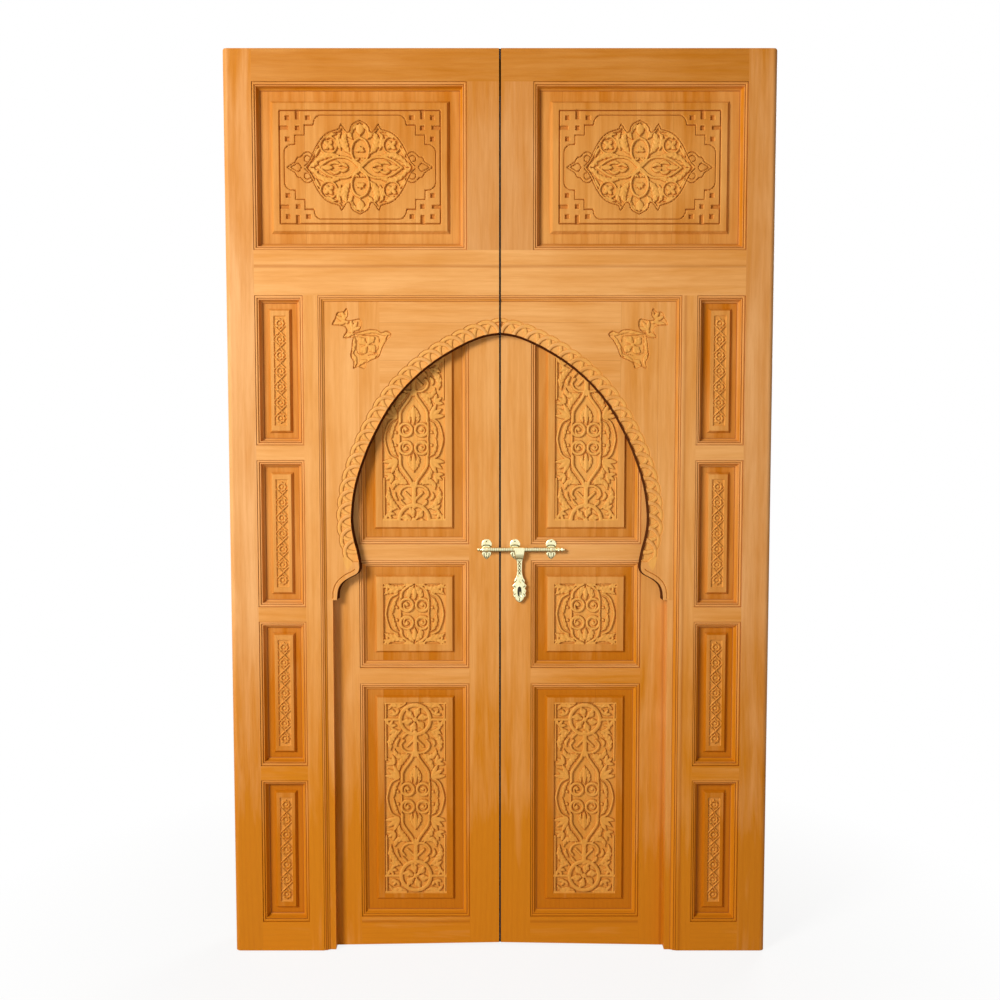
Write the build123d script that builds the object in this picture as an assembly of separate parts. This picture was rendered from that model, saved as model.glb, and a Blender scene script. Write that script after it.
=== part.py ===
from build123d import *
from math import hypot, pi, sin
import os

# A tall carved double door. Millimetres, X to the right, Z up, Y into the building.
# The origin is on the floor, at the middle of the width and of the depth.
# Each big leaf carries a small leaf that stands back behind an arched board.
# Pieces are made for the right half and mirrored for the left half.

# Overall size
door_height = 2800.0
door_half_width = 838.5
seam_gap = 6.0
foot_gap = 4.0
lip_gap = 1.0
lip_depth = 10.0

# Depths
leaf_depth = 78.0
frame_depth = 60.0
leaf_to_frame = 1.0
wicket_depth = 40.0
board_recess = 8.0
board_to_wicket = 1.0

# Members of the big leaf
outer_stile_width = 88.0
inner_stile_width = 46.0
side_bay_width = 147.5
meeting_stile_width = 98.0
top_rail_height = 98.0
top_bay_height = 502.0
transom_height = 137.0
cross_rail_height = 46.0
foot_rail_height = 93.0
side_bay_count = 4
outer_arris_radius = 16.0
top_corner_radius = 9.0

# Panels and their mouldings
moulding_width = 22.0
moulding_lip = 2.0
big_panel_recess = 24.0
wicket_panel_recess = 14.0
panel_back_thickness = 18.0
tongue_length = 9.0
tongue_thickness = 10.0
tongue_back = 4.0
groove_play = 0.15
field_rise = 10.0
wicket_field_rise = 8.0
side_field_margin = 36.0
side_field_bevel = 10.0
top_field_margin = 49.0
top_field_bevel = 12.0
wicket_field_margin = 45.0
wicket_field_bevel = 9.0

# Arched board and the strip below it
arch_moulding_width = 18.0
strip_width = 36.0
strip_height = 1124.0

# Small leaf
wicket_side_gap = 4.0
wicket_hinge_stile_width = 111.0
wicket_meeting_stile_width = 94.0
wicket_top = 2060.0
wicket_top_rail_height = 105.0
lock_rail_bottom = 1245.0
lock_rail_height = 51.0
middle_rail_bottom = 854.0
middle_rail_height = 49.5
wicket_foot_rail_top = 97.0
wicket_foot_low = 4.0
wicket_foot_rise = 9.0

# Fixed frame behind the leaves
jamb_width = 100.0
head_height = 90.0
head_top_drop = 8.0
fixing_hole_radius = 5.5
fixing_inset = 25.0
fixing_low = 300.0
fixing_high = 2300.0
fixing_middle = 1300.0

# Hinges
hinge_pin_radius = 4.0
hinge_pin_play = 0.05
hinge_barrel_radius = 7.0
hinge_plate_thickness = 3.0
hinge_wood_clearance = 0.5
hinge_knuckle_gap = 0.4
hinge_cap_radius = 5.5
hinge_cap_height = 3.0
leaf_hinge_length = 150.0
leaf_hinge_plate_width = 48.0
leaf_hinge_heights = (250.0, 1000.0, 1800.0, 2550.0)
wicket_hinge_length = 110.0
wicket_hinge_plate_width = 40.0
wicket_hinge_heights = (250.0, 1000.0, 1780.0)

# Bolt set
bolt_height = 1280.0
bolt_radius = 6.25
bolt_tip_x = -72.0
bolt_end_x = 203.0
bolt_point_length = 26.0
bolt_bead_radius = 8.5
bolt_bead_length = 13.0
staple_centres = (-42.0, 47.0, 160.0)
staple_plate_width = 33.0
staple_plate_height = 64.0
staple_plate_thickness = 2.5
staple_strap_width = 9.0
staple_strap_thickness = 2.5
staple_play = 0.4
nail_head_radius = 3.0
nail_head_height = 1.5
collar_start_x = 54.0
collar_end_x = 80.0
collar_wall = 2.3
collar_play = 0.08
collar_clearance = 0.4
hasp_centre_x = 61.0
hasp_plate_thickness = 4.0
hasp_neck_width = 15.0
hasp_neck_length = 85.0
hasp_head_length = 82.0
hasp_head_half_width = 21.5
hasp_slot_width = 13.0
hasp_slot_height = 30.0
hasp_slot_drop = 135.0
nose_width = 8.0
nose_height = 18.0
nose_clearance = 1.4

# Carving
carving_depth = 5.0
lattice_depth = 3.0
groove_width = 3.0
groove_depth = 3.0
top_carving_width = 492.0
top_carving_height = 342.0
side_carving_width = 41.0
side_carving_height = 340.0
side_cell_count = 7
wicket_carving_width = 197.0
lower_carving_height = 612.0
middle_carving_height = 193.0
upper_carving_height = 512.0
braid_reach = 44.0
braid_strap_width = 8.5
braid_pitch = 39.0
braid_depth = 4.0
flower_groove_width = 3.0

# Levels worked out from the sizes above
front = -(leaf_depth + leaf_to_frame + frame_depth) / 2
leaf_back = front + leaf_depth
frame_front = leaf_back + leaf_to_frame
frame_back = frame_front + frame_depth
wicket_front = leaf_back - wicket_depth
board_front = front + board_recess
board_back = wicket_front - board_to_wicket
meeting_edge = seam_gap / 2
outer_stile_inner = door_half_width - outer_stile_width
inner_stile_outer = outer_stile_inner - side_bay_width
inner_stile_inner = inner_stile_outer - inner_stile_width
top_rail_bottom = door_height - top_rail_height
transom_top = top_rail_bottom - top_bay_height
transom_bottom = transom_top - transom_height
side_rail_count = side_bay_count - 1
foot_rail_top = foot_gap + foot_rail_height
side_bay_height = (
    transom_bottom - foot_rail_top - side_rail_count * cross_rail_height
) / side_bay_count
side_pitch = side_bay_height + cross_rail_height
wicket_edge = inner_stile_inner - wicket_side_gap
wicket_bay_outer = wicket_edge - wicket_hinge_stile_width
wicket_bay_inner = meeting_edge + wicket_meeting_stile_width
lock_rail_top = lock_rail_bottom + lock_rail_height
middle_rail_top = middle_rail_bottom + middle_rail_height
wicket_top_rail_bottom = wicket_top - wicket_top_rail_height
jamb_inner = door_half_width - jamb_width
head_top = door_height - head_top_drop
head_bottom = head_top - head_height
collar_radius = bolt_radius + collar_play + collar_wall
bolt_y = wicket_front - staple_plate_thickness - collar_clearance - collar_radius


def box(x0, x1, y0, y1, z0, z1):
    """A block between two corners."""
    return Pos((x0 + x1) / 2, (y0 + y1) / 2, (z0 + z1) / 2) * Box(x1 - x0, y1 - y0, z1 - z0)


def facing(x, y, z):
    """A drawing plane that faces the viewer: its own x runs right and its own y runs up."""
    return Plane(origin=(x, y, z), x_dir=(1, 0, 0), z_dir=(0, -1, 0))


def bay(x0, x1, z0, z1):
    """An opening between members, with its middle."""
    return {"x0": x0, "x1": x1, "z0": z0, "z1": z1, "x": (x0 + x1) / 2, "z": (z0 + z1) / 2}


top_bay = bay(meeting_edge + meeting_stile_width, outer_stile_inner, transom_top, top_rail_bottom)
side_bays = [
    bay(
        inner_stile_outer,
        outer_stile_inner,
        foot_rail_top + i * side_pitch,
        foot_rail_top + i * side_pitch + side_bay_height,
    )
    for i in range(side_bay_count)
]
upper_bay = bay(wicket_bay_inner, wicket_bay_outer, lock_rail_top, wicket_top_rail_bottom)
middle_bay = bay(wicket_bay_inner, wicket_bay_outer, middle_rail_top, lock_rail_bottom)
lower_bay = bay(wicket_bay_inner, wicket_bay_outer, wicket_foot_rail_top, middle_rail_bottom)


# Drawing helpers for the carving


def smooth(points, steps=4):
    """Points on a soft line through the given ones."""
    last = len(points) - 1
    result = []
    for i in range(last):
        p0, p1 = points[max(i - 1, 0)], points[i]
        p2, p3 = points[i + 1], points[min(i + 2, last)]
        for step in range(steps):
            t = step / steps
            result.append(
                tuple(
                    0.5 * (2 * b + (c - a) * t + (2 * a - 5 * b + 4 * c - d) * t * t
                           + (3 * b - a - 3 * c + d) * t ** 3)
                    for a, b, c, d in zip(p0, p1, p2, p3)
                )
            )
    result.append(tuple(points[-1]))
    return result


def offset_line(line, distance):
    """The line moved sideways at every point."""
    moved = []
    for i, (x, z) in enumerate(line):
        x0, z0 = line[max(i - 1, 0)]
        x1, z1 = line[min(i + 1, len(line) - 1)]
        length = hypot(x1 - x0, z1 - z0) or 1.0
        moved.append((x - distance * (z1 - z0) / length, z + distance * (x1 - x0) / length))
    return moved


def outline_face(points):
    """A flat face with straight sides."""
    return make_face(Polyline(*points, close=True))


def ribbon(points, width, steps=4):
    """A band of even width along a soft line."""
    line = smooth(points, steps)
    return outline_face(offset_line(line, width / 2) + offset_line(line, -width / 2)[::-1])


def blade(points, width, steps=4):
    """A leaf: widest in the middle of its soft centre line, pointed at both ends."""
    line = smooth(points, steps)
    last = len(line) - 1
    left, right = [], []
    for i, (a, b) in enumerate(zip(offset_line(line, 1.0), offset_line(line, -1.0))):
        half = width / 2 * sin(pi * i / last) ** 0.8
        middle = line[i]
        left.append(tuple(m + half * (p - m) for m, p in zip(middle, a)))
        right.append(tuple(m + half * (p - m) for m, p in zip(middle, b)))
    return outline_face(left + right[-2:0:-1])


def ring(x, z, radius, width):
    """A round band."""
    return Pos(x, z) * (Circle(radius + width / 2) - Circle(radius - width / 2))


def four_ways(sketch):
    """The drawing with its mirror images, left to right and up to down."""
    both = [sketch, mirror(sketch, about=Plane.YZ)]
    return both + [mirror(item, about=Plane.XZ) for item in both]


def two_ways(sketch):
    """The drawing with its mirror image, up to down."""
    return [sketch, mirror(sketch, about=Plane.XZ)]


def joined(items):
    """One drawing from many overlapping ones."""
    faces = [face for item in items for face in item.faces()]
    return Sketch() + faces


def carve(solid, drawing, place, depth):
    """Sink the drawn ground into the face that the place lies on."""
    return solid - [extrude(place.offset(-depth) * face, amount=depth + 1) for face in drawing.faces()]


# Motifs, drawn about the middle of their field


def scroll_core(width, height):
    """Four scrolls round a small star, in a pointed frame with a leaf above and below."""
    def at(x, z):
        return x * width, z * height

    parts = four_ways(ring(*at(22, 23), 14.5 * width, 6))
    parts += four_ways(Pos(*at(25, 26)) * Circle(4.5))
    parts += four_ways(ribbon([at(0, 90), at(12, 84), at(32, 68), at(42, 57), at(37, 42)], 6.5))
    parts += four_ways(
        ribbon([at(37, 43), at(52, 44), at(63, 38), at(71, 25), at(77, 11), at(85, 0)], 6.5)
    )
    parts += four_ways(ring(*at(55, 22), 6.5, 4))
    parts += four_ways(ribbon([at(66, 0), at(60, 8), at(56, 15)], 4.5))
    parts += two_ways(blade([at(0, 34), at(2, 55), at(0, 80)], 17))
    parts += two_ways(ribbon([at(0, 0), at(0, 40)], 3.5, 1))
    return parts


def feather(points, width):
    """A leaf with a side spray on each third of its length."""
    line = smooth(points, 3)
    parts = [blade(points, width)]
    for i in (3, 5):
        if i + 2 < len(line):
            x, z = line[i]
            x1, z1 = line[i + 1]
            length = hypot(x1 - x, z1 - z)
            dx, dz = (x1 - x) / length, (z1 - z) / length
            tip = (x + 13 * dx - 9 * dz, z + 13 * dz + 9 * dx)
            parts.append(blade([(x, z), ((x + tip[0]) / 2 + dx, (z + tip[1]) / 2 + dz), tip], 6))
    return parts


def tall_arabesque():
    """The scroll core with knots, leaves and a roundel towards each end."""
    roundel = 247.6
    parts = scroll_core(1.12, 1.3)
    parts += four_ways(ribbon([(0, 117), (3, 140), (5, 165), (6, 205)], 6))
    parts += four_ways(ribbon([(4, 150), (20, 166), (38, 178), (52, 200), (40, 222)], 7))
    for item in feather([(12, 122), (34, 128), (60, 142), (76, 170), (80, 206)], 17):
        parts += four_ways(item)
    for item in feather([(47, 72), (62, 88), (84, 92), (90, 112)], 14):
        parts += four_ways(item)
    for item in feather([(88, 2), (93, 22), (90, 44), (74, 62)], 14):
        parts += four_ways(item)
    parts += four_ways(blade([(24, 178), (30, 190), (28, 202)], 12))
    for end in (roundel, -roundel):
        parts.append(ring(0, end, 41.5, 9))
        for k in range(5):
            petal = Pos(0, end) * Rot(0, 0, 36 + 72 * k) * blade([(0, 5), (3, 18), (0, 31)], 16)
            parts.append(petal)
        parts.append(Pos(0, end) * Circle(6))
    parts += four_ways(ribbon([(44, roundel), (100, roundel)], 9, 1))
    parts += four_ways(ribbon([(90, 118), (90, roundel), (90, 298)], 7, 1))
    parts += four_ways(ribbon([(34, 298), (94, 298)], 7, 1))
    parts += four_ways(blade([(48, 286), (64, 282), (82, 262)], 15))
    parts += four_ways(blade([(58, 216), (66, 226), (78, 234)], 9))
    return parts


def square_arabesque():
    """The scroll core alone, with leaves in the corners."""
    parts = scroll_core(1.0, 1.0)
    parts += four_ways(ribbon([(0, 93), (8, 90), (14, 97)], 6))
    for item in feather([(30, 92), (48, 82), (64, 78), (93, 93)], 17):
        parts += four_ways(item)
    for item in feather([(90, 4), (92, 22), (86, 42), (68, 58)], 14):
        parts += four_ways(item)
    parts += four_ways(blade([(50, 60), (60, 64), (78, 60), (95, 66)], 13))
    return parts


def relief_ground(parts, width, height):
    """What is sunk: the field without the standing parts."""
    return Rectangle(width, height) - joined(parts)


def medallion():
    """The almond medallion of the top panel as grooves, with its sunk ground."""
    outline = [(0, 137), (20, 128), (33, 114), (37, 103), (45, 108), (51, 119), (61, 125),
               (66, 112), (78, 109), (102, 102), (128, 84), (144, 58), (155, 32), (163, 17)]
    side_bud = [(163, 17), (150, 28), (152, 40), (164, 44), (174, 36), (176, 28), (187, 25),
                (190, 14), (203, 9), (218, 0)]
    grooves = four_ways(ribbon(outline, groove_width, 2)) + four_ways(ribbon(side_bud, groove_width, 2))
    relief = two_ways(ribbon([(0, 4), (24, 26), (32, 54), (22, 84), (0, 106)], 6))
    relief += [mirror(item, about=Plane.YZ) for item in relief]
    relief += four_ways(ribbon([(8, 4), (34, 26), (68, 32), (98, 20), (124, 0)], 6))
    relief += four_ways(blade([(10, 112), (24, 108), (34, 96)], 15))
    relief += two_ways(blade([(0, 104), (0, 118), (0, 132)], 24))
    for item in feather([(30, 30), (52, 52), (58, 76), (50, 104)], 17):
        relief += four_ways(item)
    for item in feather([(150, 18), (128, 30), (104, 44), (84, 52)], 15):
        relief += four_ways(item)
    for angle in (0, 120, 240):
        relief += four_ways(Pos(100, 68) * Rot(0, 0, angle) * blade([(0, 2), (2, 10), (0, 19)], 11))
    relief += four_ways(Pos(0, 56) * Rectangle(22, 7, rotation=45) + Pos(0, 56) * Rectangle(7, 22))
    relief += four_ways(blade([(40, 0), (66, 8), (92, 4)], 12))
    inside = [(0, 131), (18, 123), (30, 110), (36, 99), (47, 103), (60, 117), (66, 106),
              (100, 97), (124, 80), (140, 55), (151, 30), (158, 14), (164, 0)]
    quarter = outline_face(inside + [(0, 0)])
    ground = joined(four_ways(quarter)) - joined(relief)
    return grooves, ground


def top_panel_lines():
    """The straight and stepped lines round the medallion."""
    half_w, half_h = top_carving_width / 2, top_carving_height / 2
    frame = Rectangle(top_carving_width, top_carving_height) - Rectangle(
        top_carving_width - 2 * groove_width, top_carving_height - 2 * groove_width
    )
    step = [(0, 156), (118, 156), (130, 152), (138, 142), (142, 126), (169, 126), (169, 96),
            (198, 96), (198, 69), (214, 65), (224, 55), (227, 42), (227, 0)]
    parts = [frame] + four_ways(ribbon(step, groove_width, 1))
    for x, z in ((220, 148.5), (190, 118), (158, 148.5), (220, 84)):
        parts += four_ways(Pos(x, z) * Rectangle(12, 12))
    parts += four_ways(Pos(half_w - 14, 118) * Rectangle(27, 9))
    parts += four_ways(Pos(190, half_h - 14) * Rectangle(9, 27))
    return parts


def side_lattice():
    """A column of eight-pointed stars joined by crossing lines, as standing straps."""
    cell = side_carving_height / side_cell_count
    half_w, half_h = side_carving_width / 2, side_carving_height / 2
    strap = 3.0
    star_side = 19.0
    parts = [Rectangle(side_carving_width, side_carving_height)
             - Rectangle(side_carving_width - strap, side_carving_height - strap)]
    square_band = Rectangle(star_side + strap, star_side + strap) - Rectangle(
        star_side - strap, star_side - strap
    )
    for i in range(side_cell_count):
        z = -half_h + (i + 0.5) * cell
        parts += [Pos(0, z) * square_band, Pos(0, z) * Rot(0, 0, 45) * square_band]
        if i + 1 < side_cell_count:
            top = z + cell / 2
            for side in (1, -1):
                parts.append(ribbon(
                    [(-side * half_w, top - half_w), (side * half_w, top + half_w)], strap, 1))
    return parts


# Wooden members


def groove_cutter(opening, recess_y, margin=tongue_length + 1.0):
    """The slot round an opening that the panel's tongue stands in."""
    back = recess_y + tongue_back
    return box(
        opening["x0"] - margin, opening["x1"] + margin,
        back - groove_play, back + tongue_thickness + groove_play,
        opening["z0"] - margin, opening["z1"] + margin,
    )


def member(x0, x1, y0, y1, z0, z1, grooves):
    """A stile or rail with the panel grooves that reach it."""
    solid = box(x0, x1, y0, y1, z0, z1)
    for cutter in grooves:
        solid -= cutter
    return solid


def seam_lip(z0, z1):
    """The step at the back of the meeting edge that hides the seam."""
    return box(lip_gap / 2, meeting_edge, leaf_back - lip_depth, leaf_back, z0, z1)


def moulding_profile(depth):
    """Bead, groove and hollow, from the member's edge to the panel's flat."""
    width = moulding_width
    return [
        (0, 0), (0, depth - 1), (0.06 * width, depth), (0.36 * width, depth),
        (0.42 * width, depth - 1), (0.42 * width, 0.7 * depth), (0.5 * width, 0.7 * depth),
        (0.55 * width, 0.62 * depth), (0.7 * width, 0.42 * depth), (0.9 * width, 0.32 * depth),
        (0.9 * width, 0.16 * depth), (width, 0.16 * depth), (width, 0),
    ]


def moulding_strip(length, profile, width, mitres=(True, True)):
    """A strip along x with its width along y, cut at 45 degrees at the mitred ends."""
    section = Plane(origin=(0, 0, 0), x_dir=(0, 1, 0), z_dir=(1, 0, 0)) * outline_face(profile)
    bar = extrude(section, amount=length)
    start, end = (width if m else 0 for m in mitres)
    trimmed = outline_face([(0, 0), (length, 0), (length - end, width), (start, width)])
    height = max(level for _, level in profile)
    return bar & extrude(trimmed, amount=height + 1)


def moulding_frame(opening, base_y, depth):
    """The four mitred strips round a panel."""
    profile = moulding_profile(depth)
    wide, high = opening["x1"] - opening["x0"], opening["z1"] - opening["z0"]
    flat = moulding_strip(wide, profile, moulding_width)
    upright = moulding_strip(high, profile, moulding_width)
    return [
        Plane(origin=(opening["x0"], base_y, opening["z0"]), x_dir=(1, 0, 0), z_dir=(0, -1, 0)) * flat,
        Plane(origin=(opening["x1"], base_y, opening["z1"]), x_dir=(-1, 0, 0), z_dir=(0, -1, 0)) * flat,
        Plane(origin=(opening["x1"], base_y, opening["z0"]), x_dir=(0, 0, 1), z_dir=(0, -1, 0)) * upright,
        Plane(origin=(opening["x0"], base_y, opening["z1"]), x_dir=(0, 0, -1), z_dir=(0, -1, 0)) * upright,
    ]


def raised_panel(opening, face_y, rise, margin, bevel):
    """A panel with its tongue and its raised field."""
    x0, x1, z0, z1 = opening["x0"], opening["x1"], opening["z0"], opening["z1"]
    reach = tongue_length
    back = face_y + tongue_back
    solid = box(x0, x1, face_y, face_y + panel_back_thickness, z0, z1)
    solid += box(x0 - reach, x1 + reach, back, back + tongue_thickness, z0 - reach, z1 + reach)
    foot = Rectangle(x1 - x0 - 2 * margin, z1 - z0 - 2 * margin)
    inset = margin + bevel
    top = Rectangle(x1 - x0 - 2 * inset, z1 - z0 - 2 * inset)
    place = facing(opening["x"], face_y, opening["z"])
    return solid + loft([place * foot, place.offset(rise) * top])


def outer_stile(grooves):
    """The stile at the outer edge, with its rounded front arris and top corner."""
    solid = box(outer_stile_inner, door_half_width, front, leaf_back, foot_gap, door_height)
    edge = solid.edges().filter_by(Axis.Z).group_by(Axis.X)[-1].sort_by(Axis.Y)[0]
    solid = fillet(edge, outer_arris_radius)
    corner = facing(door_half_width, leaf_back, door_height) * (
        Pos(-top_corner_radius / 2, -top_corner_radius / 2)
        * Rectangle(top_corner_radius, top_corner_radius)
        - Pos(-top_corner_radius, -top_corner_radius) * Circle(top_corner_radius)
    )
    solid -= extrude(corner, amount=leaf_depth)
    for cutter in grooves:
        solid -= cutter
    return solid - [
        leaf_hinge_recess(height, leaf_back - hinge_plate_thickness, leaf_back)
        for height in leaf_hinge_heights
    ]


def arch_edge():
    """The lower edge of the arch from the crown down to its widest point and in again."""
    return [
        (meeting_edge, 1951), (50, 1943), (100, 1924), (150, 1898), (200, 1867), (250, 1828),
        (300, 1779), (350, 1714), (400, 1622), (425, 1562), (447, 1495), (459, 1432),
        (463, 1370), (457, 1322), (447, 1282), (440, 1250),
    ]


def corbel_edge():
    """The carved foot of the arch, down to the strip."""
    return [
        (440, 1250), (438, 1226), (442, 1212), (453, 1203), (467, 1196), (482, 1187),
        (496, 1174), (504, 1158), (507, 1142), (508, strip_height),
    ]


def along(line, pitch):
    """Points at even steps along a line."""
    points, left = [line[0]], pitch
    for (x0, z0), (x1, z1) in zip(line, line[1:]):
        span = hypot(x1 - x0, z1 - z0)
        done = 0.0
        while span - done >= left:
            done += left
            points.append((x0 + (x1 - x0) * done / span, z0 + (z1 - z0) * done / span))
            left = pitch
        left -= span - done
    return points


def braid(edge):
    """The crossing half rings along the arch as sunk pockets, and their scalloped outline."""
    line = smooth(edge, 4)
    centres = along(line, braid_pitch)
    middle = braid_reach - braid_strap_width / 2
    rings = [ring(x, z, middle, braid_strap_width) for x, z in centres]
    discs = joined([Pos(x, z) * Circle(middle) for x, z in centres])
    band = outline_face(line + offset_line(line, -braid_reach)[::-1])
    ground = (discs & band) - joined(rings)
    rim = joined([Pos(x, z) * Circle(braid_reach + 2) for x, z in centres])
    rim -= joined([Pos(x, z) * Circle(braid_reach) for x, z in centres])
    return ground, rim & outline_face(line + offset_line(line, -braid_reach - 8)[::-1])


def corner_flower():
    """The spray in the corner of the board: the line round it and the pockets inside."""
    shield = [(446, 1948), (420, 1955), (398, 1960), (376, 1958), (364, 1950), (346, 1956),
              (334, 1945), (348, 1928), (362, 1904), (372, 1878), (394, 1868), (410, 1858),
              (416, 1842), (436, 1848), (450, 1842), (448, 1862), (458, 1880), (454, 1905),
              (452, 1926)]
    bud = [(446, 1952), (452, 1938), (480, 1936), (470, 1956), (476, 1970), (494, 1974),
           (514, 1976), (504, 1996), (498, 2012), (480, 2014), (470, 2024), (466, 2004),
           (474, 1990), (454, 1988), (430, 1992), (426, 1972), (434, 1956)]
    lines = [outline_face(points) for points in (shield, bud)]
    petals = joined([
        Pos(408, 1914) * Rot(0, 0, 45 + 90 * k) * blade([(0, 4), (3, 16), (0, 28)], 18)
        for k in range(4)
    ] + [Pos(408, 1914) * Circle(5)])
    frame = outline_face([(440, 1942), (384, 1944), (372, 1930), (382, 1888), (430, 1884), (442, 1900)])
    return lines, frame - petals


def arched_board():
    """The board over the small leaf, with its braid, its corner spray and its corbel line."""
    edge = smooth(arch_edge(), 3)
    foot = smooth(corbel_edge(), 2)
    outline = edge + foot[1:] + [
        (inner_stile_inner, strip_height),
        (inner_stile_inner, transom_bottom),
        (meeting_edge, transom_bottom),
    ]
    place = facing(0, board_front, 0)
    solid = extrude(facing(0, board_back, 0) * outline_face(outline), amount=board_back - board_front)
    ground, rim = braid(arch_edge())
    solid = carve(solid, ground, place, braid_depth)
    solid = carve(solid, rim, place, groove_depth / 2)
    lines, pockets = corner_flower()
    solid = carve(solid, pockets, place, braid_depth)
    for face in lines:
        groove = offset(face, amount=flower_groove_width) - face
        solid = carve(solid, groove, place, groove_depth)
    corbel_line = offset_line(smooth(corbel_edge()[1:], 2), -13)
    return carve(solid, ribbon(corbel_line[1:-1], 2, 1), place, groove_depth)


def arch_strip():
    """The plain strip beside the small leaf, below the arched board."""
    return box(inner_stile_inner - strip_width, inner_stile_inner, board_front, board_back,
               foot_gap, strip_height)


def arch_moulding():
    """The flat moulding along the top and the side of the arched board."""
    width, depth = arch_moulding_width, board_recess - moulding_lip / 2
    profile = [
        (0, 0), (0, depth - 1), (0.05 * width, depth), (0.4 * width, depth),
        (0.47 * width, depth - 1), (0.47 * width, 0.4 * depth), (0.58 * width, 0.4 * depth),
        (0.62 * width, 0.75 * depth), (0.92 * width, 0.5 * depth), (width, 0.2 * depth), (width, 0),
    ]
    across = moulding_strip(inner_stile_inner - meeting_edge, profile, width, (True, False))
    down = moulding_strip(transom_bottom - foot_gap, profile, width, (False, True))
    top = Plane(origin=(inner_stile_inner, board_front, transom_bottom),
                x_dir=(-1, 0, 0), z_dir=(0, -1, 0)) * across
    side = Plane(origin=(inner_stile_inner, board_front, foot_gap),
                 x_dir=(0, 0, 1), z_dir=(0, -1, 0)) * down
    return [top, side]


def leaf_woodwork():
    """The pieces of the right big leaf, apart from its hinges."""
    grooves = [groove_cutter(opening, front + big_panel_recess) for opening in [top_bay, *side_bays]]
    rails = [
        member(inner_stile_outer, outer_stile_inner, front, leaf_back,
               opening["z1"], opening["z1"] + cross_rail_height, grooves)
        for opening in side_bays[:-1]
    ]
    rails.append(member(inner_stile_outer, outer_stile_inner, front, leaf_back,
                        foot_gap, foot_rail_top, grooves))
    side = raised_panel(side_bays[0], front + big_panel_recess, field_rise,
                        side_field_margin, side_field_bevel)
    face_y = front + big_panel_recess - field_rise
    lattice = relief_ground(side_lattice(), side_carving_width, side_carving_height)
    side = carve(side, lattice, facing(side_bays[0]["x"], face_y, side_bays[0]["z"]), lattice_depth)
    top = raised_panel(top_bay, front + big_panel_recess, field_rise,
                       top_field_margin, top_field_bevel)
    place = facing(top_bay["x"], face_y, top_bay["z"])
    grooves_drawn, ground = medallion()
    top = carve(top, joined(grooves_drawn + top_panel_lines()), place, groove_depth)
    top = carve(top, ground, place, carving_depth)
    depth = big_panel_recess - moulding_lip
    side_moulding = moulding_frame(side_bays[0], front + big_panel_recess, depth)
    mouldings = moulding_frame(top_bay, front + big_panel_recess, depth)
    for i in range(side_bay_count):
        mouldings += [Pos(0, 0, i * side_pitch) * strip for strip in side_moulding]
    return {
        "outer_stile": [outer_stile(grooves)],
        "inner_stile": [member(inner_stile_inner, inner_stile_outer, front, leaf_back,
                               foot_gap, transom_bottom, grooves)],
        "top_rail": [member(meeting_edge, outer_stile_inner, front, leaf_back,
                            top_rail_bottom, door_height, grooves)
                     + seam_lip(top_rail_bottom, door_height)],
        "transom_rail": [member(meeting_edge, outer_stile_inner, front, leaf_back,
                                transom_bottom, transom_top, grooves)
                         + seam_lip(transom_bottom, transom_top)],
        "upper_meeting_stile": [member(meeting_edge, meeting_edge + meeting_stile_width,
                                       front, leaf_back, transom_top, top_rail_bottom, grooves)
                                + seam_lip(transom_top, top_rail_bottom)],
        "side_rails": rails,
        "side_panels": [Pos(0, 0, i * side_pitch) * side for i in range(side_bay_count)],
        "top_panel": [top],
        "panel_mouldings": mouldings,
        "arched_board": [arched_board()],
        "arch_strip": [arch_strip()],
        "arch_moulding": arch_moulding(),
    }


def wicket_foot_cutter():
    """The slanting cut under the small leaf, higher at the meeting stile."""
    points = [
        (wicket_edge + 1, 0), (wicket_edge + 1, wicket_foot_low),
        (0, wicket_foot_low + wicket_foot_rise), (0, 0),
    ]
    return extrude(facing(0, leaf_back + 1, 0) * outline_face(points), amount=wicket_depth + 2)


def wicket_panel(opening, parts, carving_height):
    """One carved panel of the small leaf."""
    face_y = wicket_front + wicket_panel_recess
    solid = raised_panel(opening, face_y, wicket_field_rise, wicket_field_margin, wicket_field_bevel)
    place = facing(opening["x"], face_y - wicket_field_rise, opening["z"])
    ground = relief_ground(parts, wicket_carving_width, carving_height)
    return carve(solid, ground, place, carving_depth)


def wicket_woodwork():
    """The pieces of the right small leaf, apart from its hinges."""
    face_y = wicket_front + wicket_panel_recess
    openings = (upper_bay, middle_bay, lower_bay)
    grooves = [groove_cutter(opening, face_y) for opening in openings]
    foot = wicket_foot_cutter()

    def rail(z0, z1):
        return member(wicket_bay_inner, wicket_bay_outer, wicket_front, leaf_back, z0, z1, grooves)

    mouldings = []
    for opening in openings:
        mouldings += moulding_frame(opening, face_y, wicket_panel_recess - moulding_lip)
    tall = tall_arabesque()
    return {
        "wicket_hinge_stile": [member(wicket_bay_outer, wicket_edge, wicket_front, leaf_back,
                                      0, wicket_top, grooves) - foot],
        "wicket_meeting_stile": [member(meeting_edge, wicket_bay_inner, wicket_front, leaf_back,
                                        0, wicket_top, grooves) + seam_lip(0, wicket_top) - foot],
        "wicket_rails": [
            rail(wicket_top_rail_bottom, wicket_top), rail(lock_rail_bottom, lock_rail_top),
            rail(middle_rail_bottom, middle_rail_top), rail(0, wicket_foot_rail_top) - foot,
        ],
        "wicket_upper_panel": [wicket_panel(upper_bay, tall, upper_carving_height)],
        "wicket_middle_panel": [wicket_panel(middle_bay, square_arabesque(), middle_carving_height)],
        "wicket_lower_panel": [wicket_panel(lower_bay, tall, lower_carving_height)],
        "wicket_mouldings": mouldings,
    }


# Hinges


def cylinder_up(x, y, z0, z1, radius):
    """An upright round bar."""
    return Pos(x, y, (z0 + z1) / 2) * Cylinder(radius, z1 - z0)


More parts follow.
